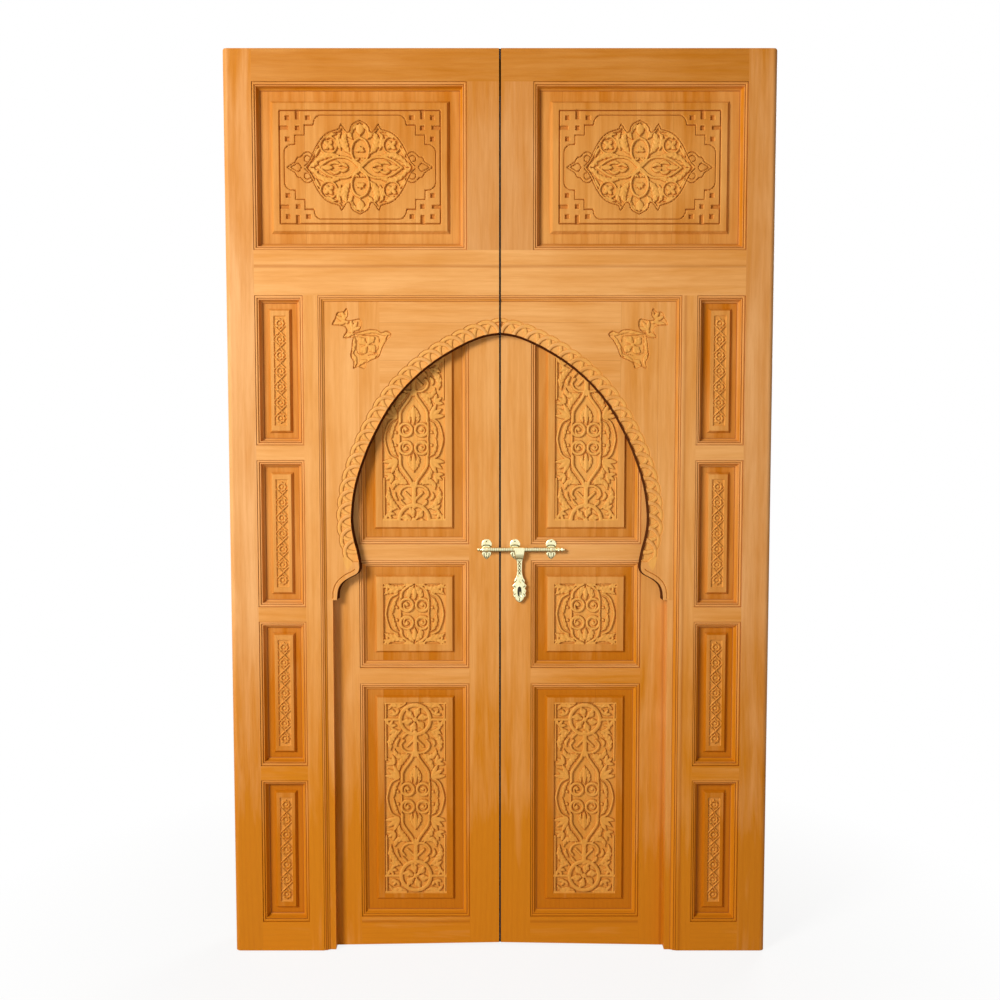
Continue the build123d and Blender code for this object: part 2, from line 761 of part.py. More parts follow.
def knuckles(x, y, middle, length, rows):
    """The rounds of one hinge half, on the given rows of five."""
    row = length / 5
    base = middle - length / 2
    return [
        cylinder_up(x, y, base + i * row + hinge_knuckle_gap / 2,
                    base + (i + 1) * row - hinge_knuckle_gap / 2, hinge_barrel_radius)
        for i in rows
    ]


def hinge_half(x, y, middle, length, rows, plate):
    """A plate with its rounds, drilled for the pin; plate is its x and y range."""
    x0, x1, y0, y1 = plate
    solid = box(x0, x1, y0, y1, middle - length / 2, middle + length / 2)
    row = length / 5
    base = middle - length / 2
    reach = hinge_barrel_radius + hinge_knuckle_gap
    notches = [
        box(x - reach, x + reach, y0 - 1, y1 + 1, base + i * row - hinge_knuckle_gap / 2,
            base + (i + 1) * row + hinge_knuckle_gap / 2)
        for i in range(5) if i not in rows
    ]
    solid = solid - notches + knuckles(x, y, middle, length, rows)
    return solid - cylinder_up(x, y, base - 1, base + length + 1, hinge_pin_radius + hinge_pin_play)


moving_rows = (1, 3)
fixed_rows = (0, 2, 4)
leaf_pin_x = door_half_width + hinge_barrel_radius + hinge_wood_clearance
leaf_pin_y = leaf_back + leaf_to_frame / 2
wicket_pin_x = inner_stile_inner - wicket_side_gap / 2
wicket_pin_y = leaf_back + hinge_barrel_radius + hinge_wood_clearance


def leaf_hinge_recess(height, y0, y1):
    """The let-in seat of a big hinge's plate."""
    half = leaf_hinge_length / 2
    return box(door_half_width - leaf_hinge_plate_width, door_half_width + 1, y0, y1,
               height - half, height + half)


def leaf_hinges():
    """The big hinges: plates on the leaf, plates on the jamb, and pins."""
    inner = door_half_width - leaf_hinge_plate_width
    moving, fixed, pins = [], [], []
    for height in leaf_hinge_heights:
        moving.append(hinge_half(
            leaf_pin_x, leaf_pin_y, height, leaf_hinge_length, moving_rows,
            (inner, leaf_pin_x, leaf_back - hinge_plate_thickness, leaf_back)))
        fixed.append(hinge_half(
            leaf_pin_x, leaf_pin_y, height, leaf_hinge_length, fixed_rows,
            (inner, leaf_pin_x, frame_front, frame_front + hinge_plate_thickness)))
        pins.append(hinge_pin(leaf_pin_x, leaf_pin_y, height, leaf_hinge_length))
    return moving, fixed, pins


def hinge_pin(x, y, middle, length):
    """A pin with a small cap at each end."""
    half = length / 2
    solid = cylinder_up(x, y, middle - half, middle + half, hinge_pin_radius)
    for low in (middle + half, middle - half - hinge_cap_height):
        solid += cylinder_up(x, y, low, low + hinge_cap_height, hinge_cap_radius)
    return solid


def wicket_hinges():
    """The small hinges, on the back of the leaf."""
    moving, fixed, pins = [], [], []
    y0, y1 = leaf_back, leaf_back + hinge_plate_thickness
    for height in wicket_hinge_heights:
        moving.append(hinge_half(
            wicket_pin_x, wicket_pin_y, height, wicket_hinge_length, moving_rows,
            (wicket_pin_x - wicket_hinge_plate_width, wicket_pin_x, y0, y1)))
        fixed.append(hinge_half(
            wicket_pin_x, wicket_pin_y, height, wicket_hinge_length, fixed_rows,
            (wicket_pin_x, wicket_pin_x + wicket_hinge_plate_width, y0, y1)))
        pins.append(hinge_pin(wicket_pin_x, wicket_pin_y, height, wicket_hinge_length))
    return moving, fixed, pins


# Fixed frame


def fixing_hole(z):
    """A hole through the jamb for a wall fixing."""
    x = jamb_inner + fixing_inset
    hole = Pos(x, (frame_front + frame_back) / 2, z) * Rot(90, 0, 0) * Cylinder(
        fixing_hole_radius, frame_depth + 2)
    return hole


def jamb():
    """The right jamb with its hinge seats and fixing holes."""
    solid = box(jamb_inner, door_half_width, frame_front, frame_back, 0, head_bottom)
    for height in leaf_hinge_heights:
        solid -= leaf_hinge_recess(height, frame_front, frame_front + hinge_plate_thickness)
    for z in (fixing_low, fixing_middle, fixing_high):
        solid -= fixing_hole(z)
    return solid


def head():
    """The head across the two jambs."""
    return box(-door_half_width, door_half_width, frame_front, frame_back, head_bottom, head_top)


# Bolt set


def bolt():
    """The round bolt: pointed at one end, turned beads at the other."""
    length = bolt_end_x - bolt_tip_x
    bead = bolt_bead_length
    shoulder = length - 2 * bead
    line = [
        (0, 0), (2.0, 1.0), (bolt_radius - 0.8, bolt_point_length - 4), (bolt_radius, bolt_point_length),
        (bolt_radius, shoulder), (0.7 * bolt_radius, shoulder + 1.5),
        (bolt_bead_radius - 1.5, shoulder + 4), (bolt_bead_radius, shoulder + bead / 2),
        (bolt_bead_radius - 1.5, shoulder + bead - 3), (0.65 * bolt_radius, shoulder + bead),
        (bolt_bead_radius - 2.0, shoulder + bead + 4), (bolt_bead_radius - 1.0, shoulder + bead + 7),
        (bolt_bead_radius - 3.0, length - 2), (0, length),
    ]
    profile = make_face(Plane.XZ * Polyline(*line, close=True))
    solid = revolve(profile, axis=Axis.Z)
    return Pos(bolt_tip_x, bolt_y, bolt_height) * Rot(0, 90, 0) * solid


def staple(x):
    """A plate with a rounded top and a pointed foot, its strap over the bolt, and its nails."""
    half_w, half_h = staple_plate_width / 2, staple_plate_height / 2
    points = [(-half_w, half_h - half_w), (-half_w, -half_h + half_w), (0, -half_h),
              (half_w, -half_h + half_w), (half_w, half_h - half_w)]
    plate = outline_face(points) + Pos(0, half_h - half_w) * Circle(half_w)
    solid = extrude(facing(x, wicket_front, bolt_height) * plate, amount=staple_plate_thickness)
    inner = bolt_radius + staple_play
    outer = inner + staple_strap_thickness
    side = Plane(origin=(x - staple_strap_width / 2, bolt_y, bolt_height),
                 x_dir=(0, 1, 0), z_dir=(1, 0, 0))
    reach = wicket_front - staple_plate_thickness - bolt_y
    legs = Pos(reach / 2, 0)
    strap = Circle(outer) + legs * Rectangle(reach, 2 * outer)
    strap -= Circle(inner) + legs * Rectangle(reach, 2 * inner)
    solid += extrude(side * strap, amount=staple_strap_width)
    for z in (half_h - 0.6 * half_w, -half_h + 0.9 * half_w):
        nail = facing(x, wicket_front - staple_plate_thickness, bolt_height + z)
        solid += extrude(nail * Circle(nail_head_radius), amount=nail_head_height)
    return solid


def hasp():
    """The hasp: a collar round the bolt, a neck and a leafy head with a slot."""
    collar_length = collar_end_x - collar_start_x
    collar = Pos((collar_start_x + collar_end_x) / 2, bolt_y, bolt_height) * Rot(0, 90, 0) * (
        Cylinder(collar_radius, collar_length)
    )
    half_neck = hasp_neck_width / 2
    neck_foot = hasp_neck_length
    low = neck_foot + hasp_head_length
    wide = hasp_head_half_width
    half = [
        (half_neck, 0), (0.8 * half_neck, -0.5 * neck_foot), (half_neck, -neck_foot + 6),
        (0.7 * wide, -neck_foot - 4), (wide, -neck_foot - 0.28 * hasp_head_length),
        (0.72 * wide, -neck_foot - 0.38 * hasp_head_length),
        (wide, -neck_foot - 0.54 * hasp_head_length),
        (0.72 * wide, -neck_foot - 0.64 * hasp_head_length),
        (0.86 * wide, -neck_foot - 0.82 * hasp_head_length),
        (0.4 * wide, -neck_foot - 0.9 * hasp_head_length), (0, -low),
    ]
    outline = outline_face(half + [(-x, z) for x, z in half[-2::-1]])
    outline -= Pos(0, -hasp_slot_drop) * Rectangle(hasp_slot_width, hasp_slot_height)
    place = facing(hasp_centre_x, bolt_y + hasp_plate_thickness / 2, bolt_height)
    solid = extrude(place * outline, amount=hasp_plate_thickness) + collar
    bore = Pos((collar_start_x + collar_end_x) / 2, bolt_y, bolt_height) * Rot(0, 90, 0) * (
        Cylinder(bolt_radius + collar_play, 3 * collar_length)
    )
    return solid - bore


def hasp_nose():
    """The low nose on the small leaf, behind the hasp's slot."""
    depth = wicket_front - (bolt_y + hasp_plate_thickness / 2) - nose_clearance
    place = facing(hasp_centre_x, wicket_front, bolt_height - hasp_slot_drop)
    body = Rectangle(nose_width, nose_height)
    return extrude(place * body, amount=depth)


def mirrored(solids):
    """The same pieces for the left half."""
    return [mirror(solid, about=Plane.YZ) for solid in solids]


def write_part(name, solids):
    """One file for one node."""
    shape = solids[0] if len(solids) == 1 else Compound(children=list(solids))
    export_step(shape, f"parts/{name}.step")


def door_nodes():
    """Every node of the door with its solids."""
    nodes = {}
    right = {**leaf_woodwork(), **wicket_woodwork()}
    moving, fixed, pins = leaf_hinges()
    right.update({"leaf_hinge_plates": moving, "frame_hinge_plates": fixed, "leaf_hinge_pins": pins})
    moving, fixed, pins = wicket_hinges()
    right.update({"wicket_hinge_plates": moving, "wicket_hinge_seats": fixed,
                  "wicket_hinge_pins": pins})
    right["jamb"] = [jamb()]
    for name, solids in right.items():
        nodes["right_" + name] = solids
        nodes["left_" + name] = mirrored(solids)
    nodes["head"] = [head()]
    nodes["bolt"] = [bolt()]
    nodes["hasp"] = [hasp()]
    nodes["hasp_nose"] = [hasp_nose()]
    for name, x in zip(("left", "middle", "end"), staple_centres):
        nodes[f"{name}_staple"] = [staple(x)]
    return nodes


def main():
    os.makedirs("parts", exist_ok=True)
    for name, solids in door_nodes().items():
        write_part(name, solids)


main()
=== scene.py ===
from math import cos, pi, radians, sin

import bpy
import numpy as np
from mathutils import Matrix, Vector
from mathutils.geometry import delaunay_2d_cdt


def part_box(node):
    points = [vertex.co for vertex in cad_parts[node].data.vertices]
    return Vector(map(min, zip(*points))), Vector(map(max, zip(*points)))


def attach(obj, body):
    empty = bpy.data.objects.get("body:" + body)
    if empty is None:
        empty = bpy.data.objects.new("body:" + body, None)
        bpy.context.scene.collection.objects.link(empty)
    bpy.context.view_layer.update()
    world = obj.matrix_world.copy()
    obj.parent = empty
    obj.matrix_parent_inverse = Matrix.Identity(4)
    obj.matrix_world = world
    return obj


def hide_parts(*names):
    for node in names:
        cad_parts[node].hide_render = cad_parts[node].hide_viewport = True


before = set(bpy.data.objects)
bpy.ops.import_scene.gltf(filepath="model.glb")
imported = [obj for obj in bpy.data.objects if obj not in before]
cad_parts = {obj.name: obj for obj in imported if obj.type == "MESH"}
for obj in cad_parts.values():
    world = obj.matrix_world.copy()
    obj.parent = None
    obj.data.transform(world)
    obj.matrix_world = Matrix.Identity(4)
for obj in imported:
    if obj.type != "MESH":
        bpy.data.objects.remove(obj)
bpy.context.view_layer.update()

# A carved double door. Shapes are worked out in millimetres and put in place in metres.
# Pieces are made from the sizes of the frame's right-hand nodes and mirrored for the left.

mm = 0.001
SIDES = {"right": 1, "left": -1}


def low(node, axis):
    """The node's lowest place on an axis, in millimetres."""
    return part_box(node)[0]["xyz".index(axis)] / mm


def high(node, axis):
    """The node's highest place on an axis, in millimetres."""
    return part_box(node)[1]["xyz".index(axis)] / mm


# Levels and edges, read from the frame
meeting_edge = low("right_arched_board", "x")
inner_stile_inner = low("right_inner_stile", "x")
inner_stile_outer = high("right_inner_stile", "x")
outer_stile_inner = low("right_outer_stile", "x")
transom_bottom = low("right_transom_rail", "z")
transom_top = high("right_transom_rail", "z")
top_rail_bottom = low("right_top_rail", "z")
foot_level = low("right_inner_stile", "z")
leaf_front = low("right_inner_stile", "y")
board_front = low("right_arched_board", "y")
board_back = high("right_arched_board", "y")
wicket_front = low("right_wicket_hinge_stile", "y")
wicket_bay_outer = low("right_wicket_hinge_stile", "x")
wicket_bay_inner = high("right_wicket_meeting_stile", "x")
strip_height = high("right_arch_strip", "z")

# Sizes that the frame's boxes don't give
foot_rail_height = 93
cross_rail_height = 46
side_bay_count = 4
lock_rail_bottom, lock_rail_top = 1245, 1296
middle_rail_bottom, middle_rail_top = 854, 903.5
wicket_foot_rail_top = 97
wicket_top_rail_bottom = 1955
panel_thickness = 18
big_panel_recess, big_field_rise = 24, 10
wicket_panel_recess, wicket_field_rise = 14, 8
moulding_width, arch_moulding_width = 22, 18
moulding_lip = 2
carving_depth = 7.5

# Steps of the carved grids, as fine as the limit on triangles allows
top_step, side_step, wicket_step = 2.2, 1.6, 1.85


def bay(x0, x1, z0, z1):
    """An opening between members, with its middle."""
    return {"x0": x0, "x1": x1, "z0": z0, "z1": z1, "x": (x0 + x1) / 2, "z": (z0 + z1) / 2}


side_bay_foot = foot_level + foot_rail_height
side_bay_height = (transom_bottom - side_bay_foot - (side_bay_count - 1) * cross_rail_height) / side_bay_count
side_pitch = side_bay_height + cross_rail_height
top_bay = bay(high("right_upper_meeting_stile", "x"), outer_stile_inner, transom_top, top_rail_bottom)
side_bays = [
    bay(inner_stile_outer, outer_stile_inner,
        side_bay_foot + i * side_pitch, side_bay_foot + i * side_pitch + side_bay_height)
    for i in range(side_bay_count)
]
wicket_bays = {
    "upper": bay(wicket_bay_inner, wicket_bay_outer, lock_rail_top, wicket_top_rail_bottom),
    "middle": bay(wicket_bay_inner, wicket_bay_outer, middle_rail_top, lock_rail_bottom),
    "lower": bay(wicket_bay_inner, wicket_bay_outer, wicket_foot_rail_top, middle_rail_bottom),
}

# Shader building


def set_input(tree, item, key, value):
    """An input linked to a socket or set to a value."""
    if isinstance(value, bpy.types.NodeSocket):
        tree.links.new(value, item.inputs[key])
    else:
        item.inputs[key].default_value = value


def add(tree, kind, inputs=None, **settings):
    """A node with its settings made and its inputs set or linked."""
    item = tree.nodes.new(kind)
    for key, value in settings.items():
        setattr(item, key, value)
    for key, value in (inputs or {}).items():
        set_input(tree, item, key, value)
    return item


def calc(tree, operation, a, b=0.0, clamp=False):
    """One step of arithmetic."""
    return add(tree, "ShaderNodeMath", {0: a, 1: b}, operation=operation, use_clamp=clamp).outputs[0]


def vector(tree, operation, a, b):
    """One step of arithmetic on vectors."""
    return add(tree, "ShaderNodeVectorMath", {0: a, 1: b}, operation=operation).outputs[0]


def remap(tree, value, low_in, high_in, low_out, high_out):
    """A value moved from one range to another and kept inside it."""
    inputs = {"Value": value, "From Min": low_in, "From Max": high_in, "To Min": low_out, "To Max": high_out}
    return add(tree, "ShaderNodeMapRange", inputs).outputs[0]


def mix(tree, factor, a, b, blend="MIX"):
    """Two colours mixed."""
    item = add(tree, "ShaderNodeMix", {"Factor": factor}, data_type="RGBA", blend_type=blend)
    for key, value in ((6, a), (7, b)):
        set_input(tree, item, key, (*value, 1.0) if isinstance(value, tuple) else value)
    return item.outputs[2]


def soft_step(tree, value, start, end):
    """0 below the start, 1 above the end, soft between."""
    inputs = {"Value": value, "From Min": start, "From Max": end}
    return add(tree, "ShaderNodeMapRange", inputs, interpolation_type="SMOOTHSTEP").outputs[0]


def use_group(tree, group, inputs):
    """A placed node group with its inputs set or linked, and its outputs."""
    return add(tree, "ShaderNodeGroup", inputs, node_tree=group).outputs


def noise(tree, place, scale, detail=2.0, roughness=0.5, distortion=0.0):
    """Soft random values."""
    inputs = {"Vector": place, "Scale": scale, "Detail": detail, "Roughness": roughness,
              "Distortion": distortion}
    return add(tree, "ShaderNodeTexNoise", inputs).outputs[0]


def new_group(name, inputs, outputs):
    """An empty node group with its sockets, and its inner input and output."""
    tree = bpy.data.node_groups.new(name, "ShaderNodeTree")
    for label, kind in inputs.items():
        tree.interface.new_socket(label, in_out="INPUT", socket_type="NodeSocket" + kind)
    for label in outputs:
        tree.interface.new_socket(label, in_out="OUTPUT", socket_type="NodeSocketFloat")
    return tree, tree.nodes.new("NodeGroupInput").outputs, tree.nodes.new("NodeGroupOutput").inputs


def make_board_grain():
    """Broad figure, growth lines and fine fibre of a board whose grain runs along its z."""
    ring_pitch, ring_drift = 0.017, 26.0
    tree, given, result = new_group(
        "board_grain", {"Position": "Vector", "Seed": "Float"}, ("Figure", "Rings", "Fibre"))
    shift = add(tree, "ShaderNodeCombineXYZ", {
        "X": calc(tree, "MULTIPLY", given["Seed"], 3.7),
        "Y": calc(tree, "MULTIPLY", given["Seed"], 1.9),
        "Z": calc(tree, "MULTIPLY", given["Seed"], 5.3)}).outputs[0]
    place = vector(tree, "ADD", given["Position"], shift)
    stretched = vector(tree, "MULTIPLY", place, (1.0, 1.0, 0.08))
    drift = noise(tree, stretched, 7.0, 2.0)
    parts = add(tree, "ShaderNodeSeparateXYZ", {0: place}).outputs
    slope = calc(tree, "MULTIPLY", calc(tree, "ADD", parts["X"], parts["Y"]), 2 * pi / ring_pitch)
    phase = calc(tree, "ADD", slope, calc(tree, "MULTIPLY", drift, ring_drift))
    rings = calc(tree, "MULTIPLY", calc(tree, "ADD", calc(tree, "SINE", phase), 1.0), 0.5)
    links = {
        "Figure": noise(tree, stretched, 30.0, 4.0, 0.6, 0.4),
        "Rings": calc(tree, "POWER", rings, 2.0),
        "Fibre": noise(tree, vector(tree, "MULTIPLY", place, (1.0, 1.0, 0.03)), 650.0, 2.0),
    }
    for label, socket in links.items():
        tree.links.new(socket, result[label])
    return tree


def make_glued_staves():
    """A board glued up from staves: a random value for each stave, and the fine joint between them."""
    tree, given, result = new_group(
        "glued_staves", {"Position": "Vector", "Width": "Float", "Seed": "Float"}, ("Stave", "Joint"))
    across = add(tree, "ShaderNodeSeparateXYZ", {0: given["Position"]}).outputs["X"]
    count = calc(tree, "ADD", calc(tree, "DIVIDE", across, given["Width"]), given["Seed"])
    stave = add(tree, "ShaderNodeTexWhiteNoise", {"W": calc(tree, "FLOOR", count)},
                noise_dimensions="1D").outputs["Value"]
    edge = calc(tree, "ABSOLUTE", calc(tree, "SUBTRACT", calc(tree, "FRACT", count), 0.5))
    tree.links.new(stave, result["Stave"])
    tree.links.new(remap(tree, edge, 0.492, 0.499, 0.0, 1.0), result["Joint"])
    return tree


def make_knots():
    """Sparse small dark knots, a little longer along the grain."""
    tree, given, result = new_group("knots", {"Position": "Vector", "Seed": "Float"}, ("Knot",))
    shift = add(tree, "ShaderNodeCombineXYZ", {"X": given["Seed"], "Z": given["Seed"]}).outputs[0]
    place = vector(tree, "ADD", vector(tree, "MULTIPLY", given["Position"], (1.0, 0.5, 0.6)), shift)
    cells = add(tree, "ShaderNodeTexVoronoi", {"Vector": place, "Scale": 5.0, "Randomness": 1.0})
    chance = add(tree, "ShaderNodeSeparateColor", {0: cells.outputs["Color"]}).outputs[0]
    size = soft_step(tree, cells.outputs["Distance"], 0.045, 0.015)
    tree.links.new(calc(tree, "MULTIPLY", size, calc(tree, "GREATER_THAN", chance, 0.5)), result["Knot"])
    return tree


def make_carving_tint_and_shade():
    """The tint attribute read out: below 0 flats deepened as painted shade, 0 to 1 depth of carving, whose
    walls get painted shade, above 1 lines of painted shade.
    """
    tree, given, result = new_group(
        "carving_tint_and_shade", {"Tint": "Float"}, ("Flat", "Carved", "Wall", "Ground", "Line"))
    rising = soft_step(tree, given["Tint"], 0.5, 0.78)
    ground = soft_step(tree, given["Tint"], 0.86, 0.99)
    for label, socket in (
            ("Flat", soft_step(tree, given["Tint"], -0.05, -1.0)),
            ("Carved", soft_step(tree, given["Tint"], 0.0, 0.05)),
            ("Wall", calc(tree, "SUBTRACT", rising, ground, clamp=True)),
            ("Ground", ground),
            ("Line", soft_step(tree, given["Tint"], 1.05, 1.35))):
        tree.links.new(socket, result[label])
    return tree


board_grain = make_board_grain()
glued_staves = make_glued_staves()
knots = make_knots()
carving_tint_and_shade = make_carving_tint_and_shade()


def new_material(name):
    """A material with its shader, ready to be wired."""
    material = bpy.data.materials.new(name)
    material.use_nodes = True
    tree = material.node_tree
    return material, tree, tree.nodes["Principled BSDF"]


def wire(tree, shader, colour, rough, bump):
    """The colour, roughness and bump linked to a material's shader."""
    for label, socket in (("Base Color", colour), ("Roughness", rough), ("Normal", bump.outputs[0])):
        tree.links.new(socket, shader.inputs[label])


def grain_place(tree, upright, across, turn_at):
    """The place to read the grain at: the board's own place, or turned level where the grain runs across."""
    parts = add(tree, "ShaderNodeSeparateXYZ", {0: upright}).outputs
    level = add(tree, "ShaderNodeCombineXYZ",
                {"X": parts["Z"], "Y": parts["Y"], "Z": parts["X"]}).outputs[0]
    if not turn_at:
        return level if across else upright
    turned = calc(tree, "LESS_THAN", calc(tree, "ABSOLUTE", parts["X"]), turn_at)
    blend = add(tree, "ShaderNodeMix", {0: turned}, data_type="VECTOR")
    tree.links.new(upright, blend.inputs[4])
    tree.links.new(level, blend.inputs[5])
    return blend.outputs[1]


def tone_and_painted_shade(tree, upright, figure, stave, flat):
    """How deep the wood's tone is: deeper at the foot, a little at the top and on the right, and in flats,
    all of it painted shade; the figure, broad patches and staves also vary it.
    """
    parts = add(tree, "ShaderNodeSeparateXYZ", {0: upright}).outputs
    # Painted shade: deeper towards the foot, towards the top and a little towards the right.
    amount = remap(tree, parts["Z"], 1.25, 0.25, 0.0, 0.84)
    for value in (
            remap(tree, parts["Z"], 2.0, 2.75, 0.0, 0.38),
            remap(tree, parts["X"], 0.0, 0.75, 0.0, 0.06),
            remap(tree, figure, 0.32, 0.68, -0.18, 0.3),
            remap(tree, noise(tree, upright, 3.0, 2.0), 0.35, 0.65, -0.1, 0.16),
            calc(tree, "MULTIPLY", stave, 0.22),
            calc(tree, "MULTIPLY", flat, 0.42)):
        amount = calc(tree, "ADD", amount, value)
    return calc(tree, "MAXIMUM", amount, 0.0)


fresh_cut = (0.86, 0.44, 0.095)


def wood(name, tone, deep, seed, across=False, stave_width=0.9, turn_at=0.0):
    """Oiled wood: paler near the middle height, deeper at the foot as painted shade, fresher in the carving,
    with painted shade in the cuts.

    The grain runs up, or across; nearer the seam than turn_at it runs across too.
    """
    material, tree, shader = new_material(name)
    upright = add(tree, "ShaderNodeTexCoord").outputs["Object"]
    place = grain_place(tree, upright, across, turn_at)
    glued = use_group(tree, glued_staves, {"Position": place, "Width": stave_width, "Seed": seed})
    own = add(tree, "ShaderNodeCombineXYZ", {
        "Y": calc(tree, "MULTIPLY", glued["Stave"], 2.3),
        "Z": calc(tree, "MULTIPLY", glued["Stave"], 7.1)}).outputs[0]
    grain = use_group(tree, board_grain, {"Position": vector(tree, "ADD", place, own), "Seed": seed})
    knot = use_group(tree, knots, {"Position": place, "Seed": seed})["Knot"]
    tint = add(tree, "ShaderNodeAttribute", attribute_name="tint").outputs["Fac"]
    cuts = use_group(tree, carving_tint_and_shade, {"Tint": tint})
    amount = tone_and_painted_shade(tree, upright, grain["Figure"], glued["Stave"], cuts["Flat"])
    fresh = calc(tree, "SUBTRACT", calc(tree, "MULTIPLY", cuts["Carved"], 0.55),
                 calc(tree, "MULTIPLY", cuts["Ground"], 0.12))
    colour = mix(tree, fresh, mix(tree, amount, tone, deep), fresh_cut)
    shades = (
        (calc(tree, "MULTIPLY", grain["Rings"], 0.13), (0.8, 0.62, 0.42)),
        (remap(tree, grain["Fibre"], 0.35, 0.7, 0.0, 0.35), (0.86, 0.74, 0.58)),
        (calc(tree, "MULTIPLY", glued["Joint"], 0.4), (0.5, 0.32, 0.16)),
        (calc(tree, "MULTIPLY", knot, 0.8), (0.4, 0.2, 0.08)),
        # Painted shade: the carving's walls, and the lines in grooves, quirks, outlines and along the corbel.
        (calc(tree, "MULTIPLY", cuts["Wall"], 0.62), (0.5, 0.24, 0.06)),
        (calc(tree, "MULTIPLY", cuts["Line"], 0.85), (0.42, 0.18, 0.04)),
    )
    for factor, shade in shades:
        colour = mix(tree, factor, colour, shade, "MULTIPLY")
    rough = calc(tree, "ADD", remap(tree, grain["Figure"], 0.3, 0.7, 0.42, 0.52),
                 calc(tree, "MULTIPLY", cuts["Wall"], 0.2))
    relief = calc(tree, "ADD", calc(tree, "MULTIPLY", grain["Rings"], 0.5),
                  calc(tree, "MULTIPLY", grain["Fibre"], 0.5))
    bump = add(tree, "ShaderNodeBump", {"Strength": 0.25, "Distance": 0.0004, "Height": relief})
    wire(tree, shader, colour, rough, bump)
    shader.inputs["Specular IOR Level"].default_value = 0.11
    return material


def make_brass():
    """Cast and hammered brass, worn bright with dark hollows, and darker underneath as painted shade."""
    material, tree, shader = new_material("brass")
    surface = add(tree, "ShaderNodeTexCoord").outputs
    place = surface["Object"]
    patches = noise(tree, place, 160.0, 4.0, 0.6)
    marks = add(tree, "ShaderNodeTexVoronoi", {"Vector": place, "Scale": 260.0, "Smoothness": 0.6},
                feature="SMOOTH_F1").outputs["Distance"]
    tint = add(tree, "ShaderNodeAttribute", attribute_name="tint").outputs["Fac"]
    up = add(tree, "ShaderNodeSeparateXYZ", {0: surface["Normal"]}).outputs["Z"]
    worn = remap(tree, patches, 0.55, 0.66, 0.0, 0.8)
    colour = mix(tree, worn, (1.0, 0.96, 0.6), (0.68, 0.45, 0.09))
    # Faces turned down are darkened: painted shade.
    colour = mix(tree, remap(tree, up, 0.0, -0.6, 0.0, 0.9), colour, (0.17, 0.105, 0.015))
    colour = mix(tree, soft_step(tree, tint, 0.05, 0.6), colour, (0.09, 0.055, 0.01))
    rough = calc(tree, "ADD", remap(tree, patches, 0.35, 0.7, 0.14, 0.34),
                 calc(tree, "MULTIPLY", tint, 0.3))
    relief = calc(tree, "ADD", marks, calc(tree, "MULTIPLY", patches, 0.4))
    bump = add(tree, "ShaderNodeBump", {"Strength": 0.35, "Distance": 0.001, "Height": relief})
    wire(tree, shader, colour, rough, bump)
    shader.inputs["Metallic"].default_value = 1.0
    return material


def make_hinge_iron():
    """Dark waxed iron with a faint cast grain."""
    material, tree, shader = new_material("hinge_iron")
    place = add(tree, "ShaderNodeTexCoord").outputs["Object"]
    grains = noise(tree, place, 500.0, 3.0)
    colour = mix(tree, remap(tree, noise(tree, place, 40.0, 3.0), 0.35, 0.65, 0.0, 1.0),
                 (0.045, 0.042, 0.04), (0.09, 0.078, 0.066))
    bump = add(tree, "ShaderNodeBump", {"Strength": 0.4, "Distance": 0.0004, "Height": grains})
    wire(tree, shader, colour, remap(tree, grains, 0.3, 0.7, 0.42, 0.6), bump)
    shader.inputs["Metallic"].default_value = 0.85
    return material


def dull_shade_material(name, colour):
    """A dull dark material with a fine nap, for painted shade."""
    material, tree, shader = new_material(name)
    shader.inputs["Base Color"].default_value = (*colour, 1)
    shader.inputs["Roughness"].default_value = 0.9
    shader.inputs["Specular IOR Level"].default_value = 0.0
    nap = noise(tree, add(tree, "ShaderNodeTexCoord").outputs["Object"], 900.0, 2.0)
    bump = add(tree, "ShaderNodeBump", {"Strength": 0.5, "Distance": 0.0004, "Height": nap})
    tree.links.new(bump.outputs[0], shader.inputs["Normal"])
    return material


# Tones: the pale one shows at the middle height, the deep one near the foot as painted shade
pale_honey, deep_honey = (0.82, 0.415, 0.14), (0.6, 0.205, 0.006)
pale_amber, deep_amber = (0.78, 0.38, 0.105), (0.52, 0.16, 0.003)
pale_frame, deep_frame = (0.62, 0.33, 0.13), (0.5, 0.22, 0.05)
woods = {
    "stile": wood("stile_wood", pale_honey, deep_honey, 1.37),
    "rail": wood("rail_wood", pale_honey, deep_honey, 2.61, across=True),
    "outer": wood("outer_stile_wood", (0.8, 0.42, 0.165), (0.56, 0.19, 0.006), 4.19),
    # The top rail and upper stiles take deeper tones: painted shade at the top.
    "top_rail": wood("top_rail_wood", (0.68, 0.315, 0.08), (0.5, 0.165, 0.006), 3.31, across=True),
    "upper_stile": wood("upper_stile_wood", (0.72, 0.36, 0.13), (0.54, 0.18, 0.006), 5.53),
    "wicket_stile": wood("wicket_stile_wood", pale_honey, deep_honey, 6.43),
    "wicket_rail": wood("wicket_rail_wood", pale_honey, deep_honey, 7.91, across=True),
    "board": wood("arched_board_wood", pale_honey, deep_honey, 9.77, stave_width=0.115, turn_at=0.37),
    "panel": wood("panel_wood", pale_amber, deep_amber, 12.3, stave_width=0.112),
    "side_panel": wood("side_panel_wood", pale_amber, deep_amber, 14.9),
    "trim_up": wood("upright_moulding_wood", pale_honey, deep_honey, 17.1),
    "trim_across": wood("level_moulding_wood", pale_honey, deep_honey, 19.4, across=True),
    "jamb": wood("jamb_wood", pale_frame, deep_frame, 22.7),
    "head": wood("head_wood", pale_frame, deep_frame, 25.3, across=True),
}
brass = make_brass()
hinge_iron = make_hinge_iron()
# Near-black materials for painted shadow: in the seams and on the arched boards' inner edges.
painted_seam_shadow = dull_shade_material("painted_seam_shadow", (0.003, 0.003, 0.003))
painted_edge_shadow = dull_shade_material("painted_edge_shadow", (0.085, 0.026, 0.007))

# Mesh building


